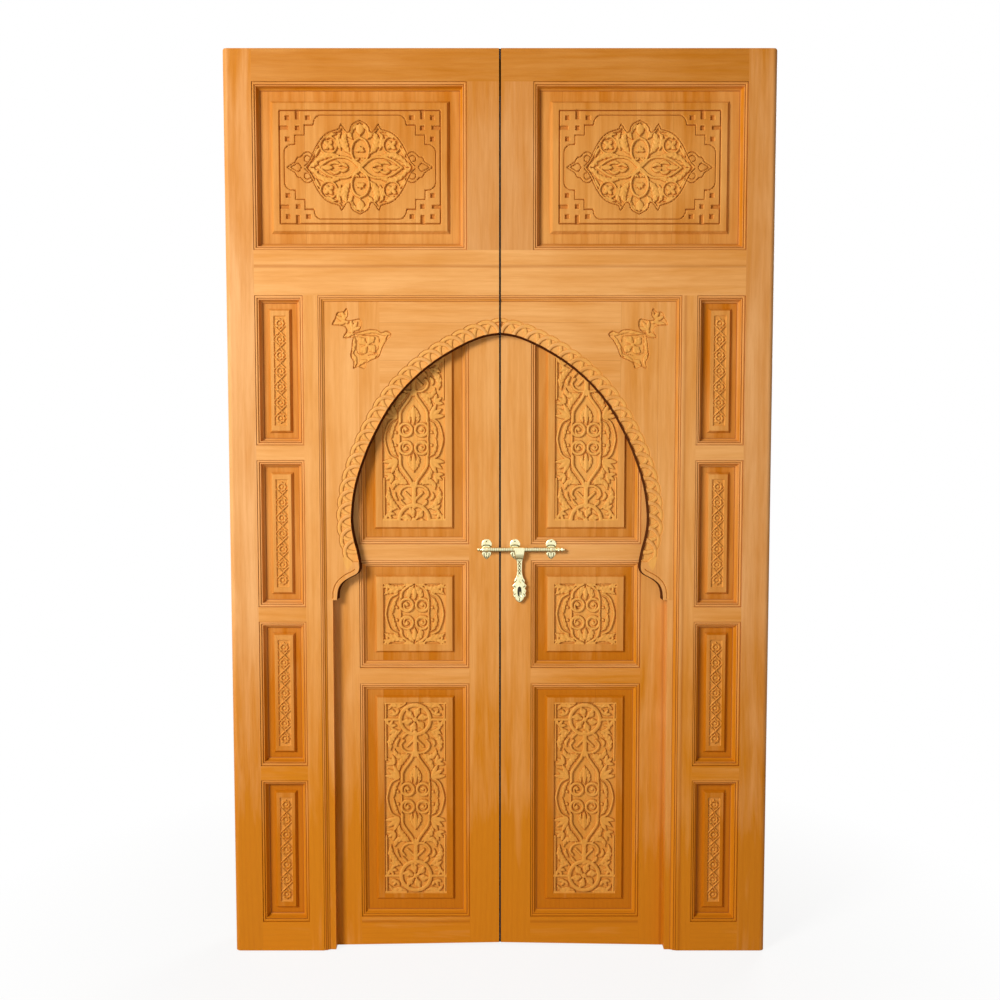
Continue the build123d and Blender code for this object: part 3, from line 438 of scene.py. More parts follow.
def new_piece(name, points, faces, materials, body, stands_for=(), crease=30.0,
              tint=None, material_indexes=None):
    """A mesh in millimetres that rides a body and stands for CAD nodes."""
    mesh = bpy.data.meshes.new(name)
    mesh.from_pydata((np.asarray(points, float) * mm).tolist(), [], [list(face) for face in faces])
    for material in materials:
        mesh.materials.append(material)
    if material_indexes is not None:
        mesh.polygons.foreach_set("material_index", material_indexes)
    if tint is not None:
        layer = mesh.attributes.new("tint", "FLOAT", "POINT")
        layer.data.foreach_set("value", np.asarray(tint, float))
    mesh.shade_smooth()
    mesh.set_sharp_from_angle(angle=radians(crease))
    mesh.update()
    item = bpy.data.objects.new(name, mesh)
    bpy.context.scene.collection.objects.link(item)
    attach(item, body)
    if stands_for:
        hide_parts(*stands_for)


def on_side(points, faces, side):
    """The right-hand shape, or its mirror image for the left."""
    points = np.asarray(points, float)
    if SIDES[side] > 0:
        return points, faces
    return points * (-1, 1, 1), [face[::-1] for face in faces]


def tube_faces(rows, turns):
    """The sides and the two ends of a tube whose points are given row by row."""
    faces = []
    for i in range(rows - 1):
        for j in range(turns):
            k = (j + 1) % turns
            faces.append([i * turns + j, i * turns + k, (i + 1) * turns + k, (i + 1) * turns + j])
    return faces + [list(range(turns))[::-1], [(rows - 1) * turns + j for j in range(turns)]]


def smooth(points, steps=4):
    """Points on a soft line through the given ones."""
    last = len(points) - 1
    result = []
    for i in range(last):
        p0, p1 = points[max(i - 1, 0)], points[i]
        p2, p3 = points[i + 1], points[min(i + 2, last)]
        for step in range(steps):
            t = step / steps
            result.append(tuple(
                0.5 * (2 * b + (c - a) * t + (2 * a - 5 * b + 4 * c - d) * t * t
                       + (3 * b - a - 3 * c + d) * t ** 3)
                for a, b, c, d in zip(p0, p1, p2, p3)))
    return result + [tuple(points[-1])]


def offset_line(line, distance):
    """The line moved sideways at every point, to its left for a distance above zero."""
    line = np.asarray(line, float)
    along = np.gradient(line, axis=0)
    length = np.hypot(along[:, 0], along[:, 1])
    length[length == 0] = 1.0
    return line + distance * np.column_stack([-along[:, 1], along[:, 0]]) / length[:, None]


def even_steps(line, pitch):
    """Points at even steps along a line."""
    line = np.asarray(line, float)
    spans = np.hypot(*np.diff(line, axis=0).T)
    place = np.concatenate([[0.0], np.cumsum(spans)])
    marks = np.arange(0.0, place[-1], pitch)
    return np.column_stack([np.interp(marks, place, line[:, 0]), np.interp(marks, place, line[:, 1])])


# Carving: every stroke gives its standing height, 0 on the ground and 1 at the top

wall_slope = 1.3


def stand(inside):
    """A steep cut wall: 1 well inside the stroke, 0 outside."""
    t = np.clip(inside / wall_slope + 0.5, 0.0, 1.0)
    return t * t * (3 - 2 * t)


def follow(line, x, z):
    """Distance to a line, and how far along it from 0 to 1, at each place."""
    line = np.asarray(line, float)
    spans = np.hypot(*np.diff(line, axis=0).T)
    starts = np.concatenate([[0.0], np.cumsum(spans)])
    nearest, place = np.full(x.shape, 1e9), np.zeros(x.shape)
    for (ax, az), (bx, bz), start, span in zip(line, line[1:], starts, spans):
        if span == 0:
            continue
        dx, dz = bx - ax, bz - az
        t = np.clip(((x - ax) * dx + (z - az) * dz) / span ** 2, 0.0, 1.0)
        distance = np.hypot(x - ax - t * dx, z - az - t * dz)
        closer = distance < nearest
        nearest = np.where(closer, distance, nearest)
        place = np.where(closer, (start + t * span) / starts[-1], place)
    return nearest, place


def rounded(share):
    """A round back: 1 at the middle of a stroke and lower at its edge."""
    return 0.5 + 0.47 * np.sqrt(np.clip(1 - share ** 2, 0, 1))


def strap(points, width, top=1.0, steps=4):
    """A rounded band along a soft line."""
    line = smooth(points, steps)

    def height(x, z):
        distance = follow(line, x, z)[0]
        return top * stand(width / 2 - distance) * rounded(2 * distance / width)
    return height


def leaf(points, width, ribs=6.0, top=1.0):
    """A leaf pointed at both ends; with ribs, it has a scalloped edge, a vein and slanting ribs."""
    line = smooth(points)

    def height(x, z):
        distance, place = follow(line, x, z)
        swell = np.sin(pi * np.clip(place, 0, 1)) ** 0.75
        scallop = 0.1 * np.cos(2 * pi * ribs * place) if ribs else 0.0
        half = np.maximum(width / 2 * swell * (1 + scallop), 0.01)
        across = np.clip(distance / half, 0, 1)
        result = top * stand(half - distance) * rounded(across)
        if ribs:
            rib = (0.5 + 0.5 * np.cos(2 * pi * (ribs * place - 0.8 * across))) ** 2
            result = result * (1 - 0.34 * rib * across ** 0.5) * np.clip(0.8 + distance / 5, 0, 1)
        return result
    return height


def fan(x, z, turns, reach, width, top=1.0):
    """Smooth lobes that spread from one place, at turns given in degrees from the level."""
    lobes = []
    for turn in turns:
        c, s = cos(radians(turn)), sin(radians(turn))
        lobes.append(leaf([(x, z), (x + 0.5 * reach * c, z + 0.5 * reach * s),
                           (x + reach * c, z + reach * s)], width, 0, top))
    return lobes


def hoop(cx, cz, radius, width, top=1.0):
    """A rounded round band."""
    def height(x, z):
        distance = np.abs(np.hypot(x - cx, z - cz) - radius)
        return top * stand(width / 2 - distance) * rounded(2 * distance / width)
    return height


def boss(cx, cz, radius, top=1.0):
    """A round knob."""
    def height(x, z):
        distance = np.hypot(x - cx, z - cz)
        return top * stand(radius - distance) * rounded(distance / radius)
    return height


def plate(cx, cz, half_w, half_h):
    """A flat rectangle about a middle."""
    return lambda x, z: stand(np.minimum(half_w - np.abs(x - cx), half_h - np.abs(z - cz)))


def highest(strokes, x, z):
    """The standing height of many strokes together."""
    result = np.zeros(x.shape)
    for stroke in strokes:
        result = np.maximum(result, stroke(x, z))
    return result


def four_ways(strokes):
    """Strokes of one quarter, seen in all four."""
    return lambda x, z: highest(strokes, np.abs(x), np.abs(z))


def two_ways(strokes):
    """Strokes of the upper half, seen in both."""
    return lambda x, z: highest(strokes, x, np.abs(z))


# Motifs, drawn about the middle of their field, in millimetres


def scroll_core():
    """A quarter of the four scrolls round a small star, with bands and a ribbed leaf beside them."""
    return [
        hoop(24.5, 28, 19.5, 8.5),
        strap([(10, 19), (18, 13), (30, 16), (34, 27), (27, 35), (20, 30)], 6.0, 0.85),
        boss(24, 29, 5.5),
        leaf([(0, 44), (0, 74), (0, 104)], 15, 0),
        leaf([(10, 48), (14, 68), (3, 100)], 13, 4.5, 0.85),
        strap([(44, 60), (46, 30), (44, 0)], 5.5, 0.9),
        leaf([(49, 56), (61, 44), (68, 22), (70, 0)], 13, 4.5, 0.95),
        boss(56, 20, 4.5, 0.9),
        strap([(54, 64), (75, 52), (86, 26), (91, 0)], 7.0, 0.95),
    ]


def tall_arabesque():
    """The scroll core in a pointed frame, with a knot of curled bands, leaves and a roundel at each end."""
    roundel = 254.0
    quarter = scroll_core() + [
        strap([(42, 54), (41, 84), (24, 111), (11, 130), (5, 150)], 9.5),
        strap([(0, 140), (0, 212)], 15, 0.98, 1),
        strap([(4, 148), (24, 148), (40, 158), (45, 174), (36, 186)], 8, 0.9),
        strap([(4, 190), (16, 178), (26, 168)], 8, 0.9),
        *fan(50, 66, (8, 36, 64), 48, 15, 0.95),
        leaf([(50, 88), (52, 104), (40, 124), (18, 142)], 19, 5.0, 0.95),
        *fan(64, 112, (-4, 34, 72), 30, 12, 0.9),
        leaf([(24, 144), (46, 134), (62, 142), (66, 160)], 17, 4.0, 0.95),
        leaf([(78, 152), (80, 180), (66, 204), (44, 220)], 20, 6.0),
        leaf([(58, 166), (60, 180), (50, 194)], 11, 0, 0.9),
        leaf([(42, 190), (36, 202), (24, 210)], 10, 0, 0.9),
        *fan(82, 232, (70, 120, 170, 220), 24, 10, 0.9),
        leaf([(54, 218), (68, 218), (84, 206)], 12, 0, 0.9),
        hoop(0, roundel, 47, 13),
        strap([(52, roundel), (100, roundel)], 9, 0.95, 1),
        strap([(93.5, 124), (93.5, 304)], 6.5, 0.95, 1),
        strap([(30, 306), (98, 306)], 6, 0.9, 1),
        leaf([(30, 302), (54, 297), (72, 300), (88, 284)], 14, 3.5, 0.9),
        *fan(62, 268, (10, 60, 120), 22, 10, 0.9),
    ]
    half = [
        strap([(-24, roundel - 28), (-12, roundel - 8), (8, roundel + 6), (24, roundel + 32)], 6),
        *turned_leaves(0, roundel, 6, 20, (8, 23, 42), 21),
        boss(0, roundel, 8.0),
    ]
    whole = (four_ways(quarter), two_ways(half))
    return lambda x, z: highest(whole, x, z)


def turned_leaves(cx, cz, count, first, reach, width):
    """Leaves at even turns round a point."""
    leaves = []
    for k in range(count):
        turn = radians(first + 360 / count * k)
        points = [(cx - r * sin(turn) + bend * cos(turn), cz + r * cos(turn) + bend * sin(turn))
                  for r, bend in zip(reach, (0, 3, 0))]
        leaves.append(leaf(points, width, 2.0))
    return leaves


def square_arabesque():
    """The scroll core with short petals and ribbed leaves towards the corners."""
    quarter = scroll_core()[:3] + scroll_core()[5:] + [
        leaf([(0, 44), (0, 62), (0, 84)], 15, 0),
        leaf([(15, 46), (19, 64), (2, 90)], 19, 4.0, 0.85),
        strap([(42, 52), (39, 70), (25, 84), (6, 95)], 8.0),
        leaf([(28, 92), (48, 81), (70, 82), (95, 95)], 18, 5.0),
        leaf([(48, 68), (66, 71), (82, 70), (97, 60)], 14, 4.0, 0.95),
        *fan(86, 86, (45, 95, 175, -85, -5), 16, 8, 0.9),
        leaf([(8, 97), (20, 91), (34, 96)], 12, 2.0),
    ]
    return four_ways(quarter)


top_carving = (492.0, 342.0)
side_carving = (41.0, 340.0)
groove_width = 3.0

# Depths of cuts that don't reach the ground of the carving, as shares of its depth
shallow_cut, key_cut = 0.62, 0.9


def medallion_ground(x, z):
    """1 inside the almond medallion, 0 outside."""
    inside = [(0, 134), (15, 127), (24, 116), (27, 103), (40, 100), (56, 118), (61, 108),
              (86, 102), (107, 89), (127, 62), (144, 28), (154, 12), (164, 0)]
    edge = np.interp(np.abs(x), [p[0] for p in inside], [p[1] for p in inside], right=-1)
    return stand(edge - np.abs(z))


def medallion_relief():
    """Leaves and bands that stand inside the medallion."""
    quarter = [
        strap([(0, 8), (20, 26), (27, 52), (18, 78), (0, 89)], 7.5),
        strap([(6, 4), (34, 27), (68, 31), (100, 20), (127, 0)], 7.5, 0.9),
        leaf([(0, 96), (0, 112), (0, 132)], 26, 0),
        leaf([(4, 128), (24, 118), (32, 100), (22, 84)], 18, 4.0, 0.95),
        leaf([(30, 40), (44, 60), (50, 82), (42, 108)], 23, 5.0, 0.95),
        leaf([(146, 8), (124, 27), (98, 37), (62, 36)], 17, 6.0),
        leaf([(58, 50), (66, 74), (66, 92), (57, 106)], 14, 4.0, 0.95),
        hoop(96, 67, 25, 5.5, 0.9),
        leaf([(70, 100), (86, 98), (104, 84)], 9, 0, 0.9),
        leaf([(120, 62), (130, 48), (138, 30)], 9, 0, 0.9),
        *fan(96, 67, (40, 130, 220, 310), 18, 13),
        leaf([(36, 0), (52, 10), (66, 4)], 11, 0),
        leaf([(58, 8), (76, 16), (94, 8)], 10, 0, 0.95),
        leaf([(82, 0), (100, 3), (120, 0)], 11, 0, 0.95),
        leaf([(128, 10), (140, 10), (156, 0)], 14, 2.0),
        *fan(0, 50, (0, 45, 90), 15, 9, 0.95),
        boss(0, 50, 4.5, 0.7),
        leaf([(2, 30), (9, 24), (14, 30)], 7, 0, 0.9),
        boss(0, 0, 7),
    ]
    return four_ways(quarter)


def top_grooves():
    """Fine grooves of the top panel: outline and bud of the medallion, stepped frame and corner keys."""
    outline = [(0, 140), (17, 132), (28, 120), (30, 108), (39, 105), (47, 114), (57, 129),
               (62, 117), (70, 112), (88, 107), (111, 93), (132, 64), (149, 29), (158, 14), (168, 4)]
    side_bud = [(143, 38), (156, 46), (171, 42), (180, 31), (191, 29), (196, 17), (207, 10), (222, 0)]
    curl = [(151, 31), (160, 36), (169, 30), (168, 20), (160, 17)]
    heart = [(178, 0), (187, 12), (201, 6), (211, 0)]
    round_low = [(118, 156), (130, 152), (138, 142), (142, 126)]
    round_high = [(198, 69), (214, 67), (227, 57), (231, 42)]
    half_w, half_h = top_carving[0] / 2, top_carving[1] / 2
    inset = groove_width / 2
    level_line, side_line = [(0, 156), round_low[0]], [round_high[-1], (231, 0)]
    steps = [round_low[-1], (169, 126), (169, 96), (198, 96), round_high[0]]
    frame_line = [(0, half_h - inset), (half_w - inset, half_h - inset), (half_w - inset, 0)]
    soft = [strap(line, groove_width) for line in (curl, heart, round_low, round_high)]
    pointed = [strap(line, groove_width, steps=2) for line in (outline, side_bud)]
    straight = [strap(line, groove_width, steps=1) for line in (level_line, side_line, steps, frame_line)]
    return four_ways(soft + pointed + straight)


def corner_keys():
    """The sunk squares and notches of the top panel's corner keys."""
    half_w, half_h = top_carving[0] / 2, top_carving[1] / 2
    square, notch_half_length, notch_half_width = 6.5, 14, 5.5
    middle_x, middle_z = 190, 118
    keys = [plate(x, z, square, square)
            for x, z in ((220, 148.5), (middle_x, middle_z), (158, 148.5), (220, 84))]
    keys += [plate(half_w - notch_half_length, middle_z, notch_half_length, notch_half_width),
             plate(middle_x, half_h - notch_half_length, notch_half_width, notch_half_length)]
    return four_ways(keys)


def top_surface():
    """How deep the top panel is cut, as a share of the carving depth, and its tint."""
    relief, grooves, keys = medallion_relief(), top_grooves(), corner_keys()

    def cut(x, z):
        sunk = medallion_ground(x, z) * (1 - relief(x, z))
        line, key = grooves(x, z), keys(x, z)
        deepest = np.maximum(np.maximum(sunk, shallow_cut * line), key_cut * key)
        # Grooves and corner keys are tinted as painted shade.
        return deepest, np.where(line > 0.4, 1.5, np.where(key > 0.1, 0.75, sunk))
    return cut


def inside_field(x, z, half_w, half_h):
    """1 inside a carved field, 0 outside."""
    return stand(np.minimum(half_w - np.abs(x), half_h - np.abs(z)) - 0.4)


def side_surface(width, height):
    """Eight-pointed stars joined by crossing straps, left standing on a sunk ground, and their tint."""
    cells = 7
    cell, half_w, half_h = height / cells, width / 2, height / 2
    strap_width, star, centre_radius = 3.2, 9.5, 4.2

    def cut(x, z):
        local = np.mod(z + half_h, cell) - cell / 2
        ax, az = np.abs(x), np.abs(local)
        square = np.abs(np.maximum(ax, az) - star)
        diamond = np.abs((ax + az) / 2 ** 0.5 - star)
        beyond = cell / 2 - az
        cross = np.where(np.abs(z) < half_h - cell / 2, np.abs(ax - beyond) / 2 ** 0.5, 9.0)
        rim = np.minimum(half_w - ax, half_h - np.abs(z)) - strap_width / 4
        nearest = np.minimum(np.minimum(square, diamond), np.minimum(cross, np.abs(rim)))
        centre = stand(centre_radius - np.hypot(x, local)) * 0.8
        standing = np.maximum(stand(strap_width / 2 - nearest), centre)
        sunk = shallow_cut * inside_field(x, z, half_w, half_h) * (1 - standing)
        return sunk, sunk
    return cut


def relief_surface(motif, width, height):
    """A sunk rectangle with the motif left standing, and its tint."""
    def cut(x, z):
        sunk = inside_field(x, z, width / 2, height / 2) * (1 - motif(x, z))
        return sunk, sunk
    return cut


# Panels


def field_profile(distance, margin, bevel, rise):
    """Height of the raised field by the distance from the opening's edge."""
    return np.interp(distance, [margin, margin + 0.3, margin + bevel], [0.0, 0.15 * rise, rise])


def panel_lines(half, margin, bevel, carved_half, pitch):
    """Grid places from the middle out: even over the carving, then at each break of the field."""
    even = np.linspace(0.0, carved_half, round(carved_half / pitch) + 1)
    foot = half - margin
    bevels = [foot - bevel * t for t in (0.25, 0.5, 0.75)]
    breaks = [foot - bevel - 0.6, foot - bevel, *bevels, foot - 0.3, foot, half]
    return np.unique(np.round(np.concatenate([even, breaks]), 3))


def carved_panel(opening, face_y, field, carved, cut, pitch, side, lift=0.0):
    """A panel with a raised carved field, whose grid is fine over the carving.

    The field may be lifted off the opening's middle height.
    """
    margin, bevel, rise, flat_painted_shade = field
    half_w, half_h = (opening["x1"] - opening["x0"]) / 2, (opening["z1"] - opening["z0"]) / 2
    xs = panel_lines(half_w, margin, bevel, carved[0] / 2 + 2, pitch)
    zs = panel_lines(half_h, margin, bevel, carved[1] / 2 + 2, pitch)
    xs = np.concatenate([-xs[:0:-1], xs])
    zs = np.concatenate([-zs[:0:-1], zs])
    grid_x, field_z = np.meshgrid(xs, zs)
    distance = np.minimum(half_w - np.abs(grid_x), half_h - np.abs(field_z))
    carved_part = (np.abs(grid_x) <= carved[0] / 2 + 1) & (np.abs(field_z) <= carved[1] / 2 + 1)
    sunk, tint = (part * carved_part for part in cut(grid_x, field_z))
    grid_z = field_z.copy()
    grid_z[1:-1] += lift
    height = field_profile(distance, margin, bevel, rise) - carving_depth * sunk
    rows, columns = grid_x.shape
    front_points = np.column_stack([
        (opening["x"] + grid_x).ravel(), (face_y - height).ravel(), (opening["z"] + grid_z).ravel()])
    index = np.arange(rows * columns).reshape(rows, columns)
    a, b, c, d = index[:-1, :-1], index[:-1, 1:], index[1:, 1:], index[1:, :-1]
    faces = np.column_stack([a.ravel(), b.ravel(), c.ravel(), d.ravel()]).tolist()
    rim = np.concatenate([index[0, :], index[1:, -1], index[-1, -2::-1], index[-2:0:-1, 0]])
    back_points = front_points[rim] * (1, 0, 1) + (0, face_y + panel_thickness, 0)
    first, rim_count = len(front_points), len(rim)
    for i in range(rim_count):
        j = (i + 1) % rim_count
        faces.append([int(rim[j]), int(rim[i]), first + i, first + j])
    faces.append([first + i for i in range(rim_count)][::-1])
    points, faces = on_side(np.vstack([front_points, back_points]), faces, side)
    # The flat round the field and most of its bevel take painted shade.
    tint = np.where(distance < margin + bevel - 0.5, flat_painted_shade, tint)
    return points, faces, np.concatenate([tint.ravel(), np.zeros(rim_count)])


def merged(shapes):
    """Several shapes as one, each given as points, faces and tint."""
    points, faces, tint, first = [], [], [], 0
    for shape_points, shape_faces, shape_tint in shapes:
        points.append(shape_points)
        faces += [[first + corner for corner in face] for face in shape_faces]
        tint.append(shape_tint)
        first += len(shape_points)
    return np.vstack(points), faces, np.concatenate(tint)


# Each field: its margin in the opening, its bevel, its rise, and the tint of the flat round it, painted shade
# that deepens the recessed flat
top_field = (52.0, 8.0, big_field_rise, -0.3)
side_field = (38.0, 7.0, big_field_rise, -0.8)
wicket_field = (47.5, 6.0, wicket_field_rise, -1.0)
wicket_carvings = {"upper": (197.0, 512.0), "middle": (197.0, 193.0), "lower": (197.0, 620.0)}
wicket_lifts = {"upper": 0.0, "middle": 0.0, "lower": 6.0}


def panel_piece(node, shape, tone, body):
    """Carved panels that stand for their CAD node."""
    points, faces, tint = shape
    new_piece(f"{node}_carved", points, faces, [woods[tone]], body, [node], tint=tint)


def make_panels():
    """All carved panels."""
    big_face = leaf_front + big_panel_recess
    small_face = wicket_front + wicket_panel_recess
    tall, top_cut, side_cut = tall_arabesque(), top_surface(), side_surface(*side_carving)
    cuts = {part: relief_surface(square_arabesque() if part == "middle" else tall, *size)
            for part, size in wicket_carvings.items()}
    for side in SIDES:
        shape = carved_panel(top_bay, big_face, top_field, top_carving, top_cut, top_step, side)
        panel_piece(f"{side}_top_panel", shape, "panel", f"{side}_leaf")
        shape = merged([carved_panel(opening, big_face, side_field, side_carving, side_cut, side_step, side)
                        for opening in side_bays])
        panel_piece(f"{side}_side_panels", shape, "side_panel", f"{side}_leaf")
        for part, opening in wicket_bays.items():
            shape = carved_panel(opening, small_face, wicket_field, wicket_carvings[part], cuts[part],
                                 wicket_step, side, wicket_lifts[part])
            panel_piece(f"{side}_wicket_{part}_panel", shape, "panel", f"{side}_wicket")


make_panels()

# Mouldings


def arc(cx, cy, radius, start, end, steps=6):
    """Points on an arc."""
    return [(cx + radius * cos(radians(start + (end - start) * i / steps)),
             cy + radius * sin(radians(start + (end - start) * i / steps))) for i in range(steps + 1)]


def moulding_profile(width, depth):
    """Bead, quirk, round and cove, from the member's edge to the panel's flat, each place with its tint,
    which is painted shade in the creases and on the cove.
    """
    bead = 0.17 * width
    quirk_end = 2 * bead + 1.3
    round_radius = 0.08 * width
    shelf = 0.8 * depth
    quirk_floor = shelf - 1
    foot = 0.06 * depth
    cove_radius = 0.32 * width
    # dark paints shade into the crease at the member, the quirk and the foot; shaded paints it on the cove.
    dark, shaded = 1.5, -0.8
    first_bead = arc(bead, depth - bead, bead, 180, 0)
    second_bead = arc(quirk_end + round_radius, quirk_floor, round_radius, 180, 60, 4)
    cove = [(x, z * (shelf - foot - 1) / cove_radius + foot + 1)
            for x, z in arc(0.9 * width, cove_radius, cove_radius, 180, 270)]
    return (
        [(0, 0, dark), (0, depth - bead, dark)]
        + [(*place, 0) for place in first_bead[1:]]
        + [(2 * bead, quirk_floor, dark), (quirk_end, quirk_floor, dark)]
        + [(*place, 0) for place in second_bead[1:]]
        + [(*place, shaded) for place in cove[1:]]
        + [(0.92 * width, foot + 0.4, dark), (width - 0.8, foot, dark)]
        + [(width, foot, dark), (width, 0, dark)]
    )


def strip(start, end, inward, base_y, profile, mitres):
    """A straight moulding between two places on the x-z plane, mitred where asked."""
    start, end, inward = (np.asarray(v, float) for v in (start, end, inward))
    along = (end - start) / np.linalg.norm(end - start)
    rows = []
    for place, sign, mitre in ((start, 1, mitres[0]), (end, -1, mitres[1])):
        row = []
        for across, height, _ in profile:
            x, z = place + inward * across + along * (sign * across if mitre else 0)
            row.append((x, base_y - height, z))
        rows.append(row)
    faces = tube_faces(2, len(profile))
    if along[0] * inward[1] - along[1] * inward[0] < 0:
        faces = [face[::-1] for face in faces]
    return np.array(rows[0] + rows[1]), faces, np.array([shade for _, _, shade in profile] * 2)


frame_levels = [0, 0, 1, 1]


def frame_strips(opening, base_y, profile):
    """The four mitred strips round an opening: two upright, then two level."""
    x0, x1, z0, z1 = (opening[key] for key in ("x0", "x1", "z0", "z1"))
    both = (True, True)
    return [
        strip((x0, z0), (x0, z1), (1, 0), base_y, profile, both),
        strip((x1, z0), (x1, z1), (-1, 0), base_y, profile, both),
        strip((x0, z0), (x1, z0), (0, 1), base_y, profile, both),
        strip((x0, z1), (x1, z1), (0, -1), base_y, profile, both),
    ]


def moulding_piece(name, strips, level, side, body, node):
    """Strips as one piece; level says which of them run level."""
    points, faces, tint = merged(strips)
    indexes = [int(flag) for flag, item in zip(level, strips) for _ in item[1]]
    points, faces = on_side(points, faces, side)
    new_piece(name, points, faces, [woods["trim_up"], woods["trim_across"]], body, [node],
              crease=40.0, tint=tint, material_indexes=indexes)


def make_mouldings():
    """Mouldings round every panel and along the arched board."""
    big = moulding_profile(moulding_width, big_panel_recess - moulding_lip)
    small = moulding_profile(moulding_width, wicket_panel_recess - moulding_lip)
    narrow = moulding_profile(arch_moulding_width, board_front - leaf_front - moulding_lip / 2)
    for side in SIDES:
        strips = [item for opening in [top_bay, *side_bays]
                  for item in frame_strips(opening, leaf_front + big_panel_recess, big)]
        moulding_piece(f"{side}_panel_mouldings_run", strips, frame_levels * (1 + side_bay_count), side,
                       f"{side}_leaf", f"{side}_panel_mouldings")
        strips = [item for opening in wicket_bays.values()
                  for item in frame_strips(opening, wicket_front + wicket_panel_recess, small)]
        moulding_piece(f"{side}_wicket_mouldings_run", strips, frame_levels * len(wicket_bays), side,
                       f"{side}_wicket", f"{side}_wicket_mouldings")
        strips = [
            strip((inner_stile_inner, foot_level), (inner_stile_inner, transom_bottom), (-1, 0),
                  board_front, narrow, (False, True)),
            strip((meeting_edge, transom_bottom), (inner_stile_inner, transom_bottom), (0, -1),
                  board_front, narrow, (False, True)),
        ]
        moulding_piece(f"{side}_arch_moulding_run", strips, [0, 1], side, f"{side}_leaf",
                       f"{side}_arch_moulding")


make_mouldings()

# Arched boards

arch_edge = [
    (meeting_edge, 1951), (50, 1943), (100, 1924), (150, 1898), (200, 1867), (250, 1828),
    (300, 1779), (350, 1714), (400, 1622), (425, 1562), (447, 1495), (459, 1432),
    (463, 1370), (457, 1322), (447, 1282), (440, 1250),
]
corbel_edge = [
    (440, 1250), (438, 1226), (442, 1212), (453, 1203), (467, 1196), (482, 1187),
    (496, 1174), (504, 1158), (507, 1142), (508, strip_height),
]
arch_lead_in = (-18, 1953)
braid_reach, braid_width, braid_pitch, braid_depth = 44.0, 12.0, 39.0, 5.0
edge_slant = 4.5
# Outlines are tinted above 1, as painted shade.
line_depth, outline_painted_shade = 0.7, 1.25


def inside_of(outline, places):
    """Which places lie inside an outline."""
    x, z = places[:, 0], places[:, 1]
    result = np.zeros(len(places), bool)
    for (ax, az), (bx, bz) in zip(outline, np.roll(outline, -1, axis=0)):
        if az != bz:
            crosses = (az > z) != (bz > z)
            result ^= crosses & (x < ax + (z - az) / (bz - az) * (bx - ax))
    return result


def away_from(line, places, distance):
    """The places at least that far from a line."""
    return places[follow(line, places[:, 0], places[:, 1])[0] >= distance]


def grid(x0, x1, z0, z1, pitch):
    """Places at even steps over a rectangle."""
    xs, zs = np.meshgrid(np.arange(x0, x1, pitch), np.arange(z0, z1, pitch))
    return np.column_stack([xs.ravel(), zs.ravel()])


def within(loops, places):
    """Which places lie inside the first loop and outside the rest."""
    result = inside_of(loops[0], places)
    for loop in loops[1:]:
        result &= ~inside_of(loop, places)
    return result


def fill(places, links, loops):
    """Points and faces that fill the loops, whose edges are the links between the first places."""
    inside_only = 1 if len(loops) == 1 else 0
    found = delaunay_2d_cdt([Vector(place) for place in places.tolist()], links, [], inside_only, 1e-5)
    flat = np.array([tuple(place) for place in found[0]])
    faces = [list(face) for face in found[2]]
    if len(loops) > 1:
        middles = np.array([flat[face].mean(axis=0) for face in faces])
        faces = [face for face, kept in zip(faces, within(loops, middles)) if kept]
    return flat, faces


def cut_plate(outlines, places, surface, face_y, back_y):
    """A plate cut to outlines, the first one outer and the rest holes, with a shaped front."""
    clear_of_edge = 0.7
    loops = [np.asarray(outline, float) for outline in outlines]
    links, first = [], 0
    for loop in loops:
        places = away_from(np.vstack([loop, loop[:1]]), places, clear_of_edge)
        links += [(first + i, first + (i + 1) % len(loop)) for i in range(len(loop))]
        first += len(loop)
    flat, faces = fill(np.vstack(loops + [places[within(loops, places)]]), links, loops)
    height, tint = surface(flat[:, 0], flat[:, 1])
    front = np.column_stack([flat[:, 0], face_y - height, flat[:, 1]])
    count = len(front)
    sides = {(a, b) for face in faces for a, b in zip(face, face[1:] + face[:1])}
    rim = sorted((a, b) for a, b in sides if (b, a) not in sides)
    following = dict(rim)
    used = sorted(following)
    number = {corner: count + i for i, corner in enumerate(used)}
    walls = [[b, a, number[a], number[b]] for a, b in rim]
    if len(loops) == 1:
        ring = [used[0]]
        while following[ring[-1]] != used[0]:
            ring.append(following[ring[-1]])
        closing = [[number[corner] for corner in ring][::-1]]
    else:
        back_links = [(number[a] - count, number[b] - count) for a, b in rim]
        closing = [[count + corner for corner in face][::-1]
                   for face in fill(flat[used], back_links, loops)[1]]
    back = np.column_stack([flat[used, 0], np.full(len(used), back_y), flat[used, 1]])
    return np.vstack([front, back]), faces + walls + closing, np.concatenate([tint, np.zeros(len(used))])


def braid(centres, distance, x, z):
    """Rings woven along the arch at some distance from its edge: how deep they are cut, and their tint, with
    painted shade along their edges.
    """
    middle = braid_reach - braid_width / 2
    best, edge = np.zeros(x.shape), np.full(x.shape, 9.0)
    covered = np.full(x.shape, 1e9)
    for i, (cx, cz) in enumerate(centres):
        away = np.hypot(x - cx, z - cz)
        inside_band = braid_width / 2 - np.abs(away - middle)
        ahead = centres[min(i + 1, len(centres) - 1)] - centres[max(i - 1, 0)]
        ahead = ahead / np.hypot(*ahead)
        lean = ((x - cx) * ahead[0] + (z - cz) * ahead[1]) / np.maximum(away, 1)
        top = 1.0 - 0.34 * np.clip(0.5 + 0.9 * lean, 0, 1)
        over = (inside_band > -0.5) & (top > best)
        best = np.where(over, top, best)
        edge = np.where(over, inside_band, edge)
        covered = np.minimum(covered, away - middle)
    pocket = stand(-covered) * stand(distance - 0.6)
    crown = best * (0.3 + 0.7 * np.sqrt(np.clip((edge + 0.5) / 3.4, 0, 1)))
    beyond = stand(covered - braid_width / 2 - 0.6)
    cut = np.where(best > 0, 1 - crown, pocket) * (1 - beyond)
    return cut, np.where((best > 0) & (edge < 0.9) & (beyond < 0.5), outline_painted_shade, cut)


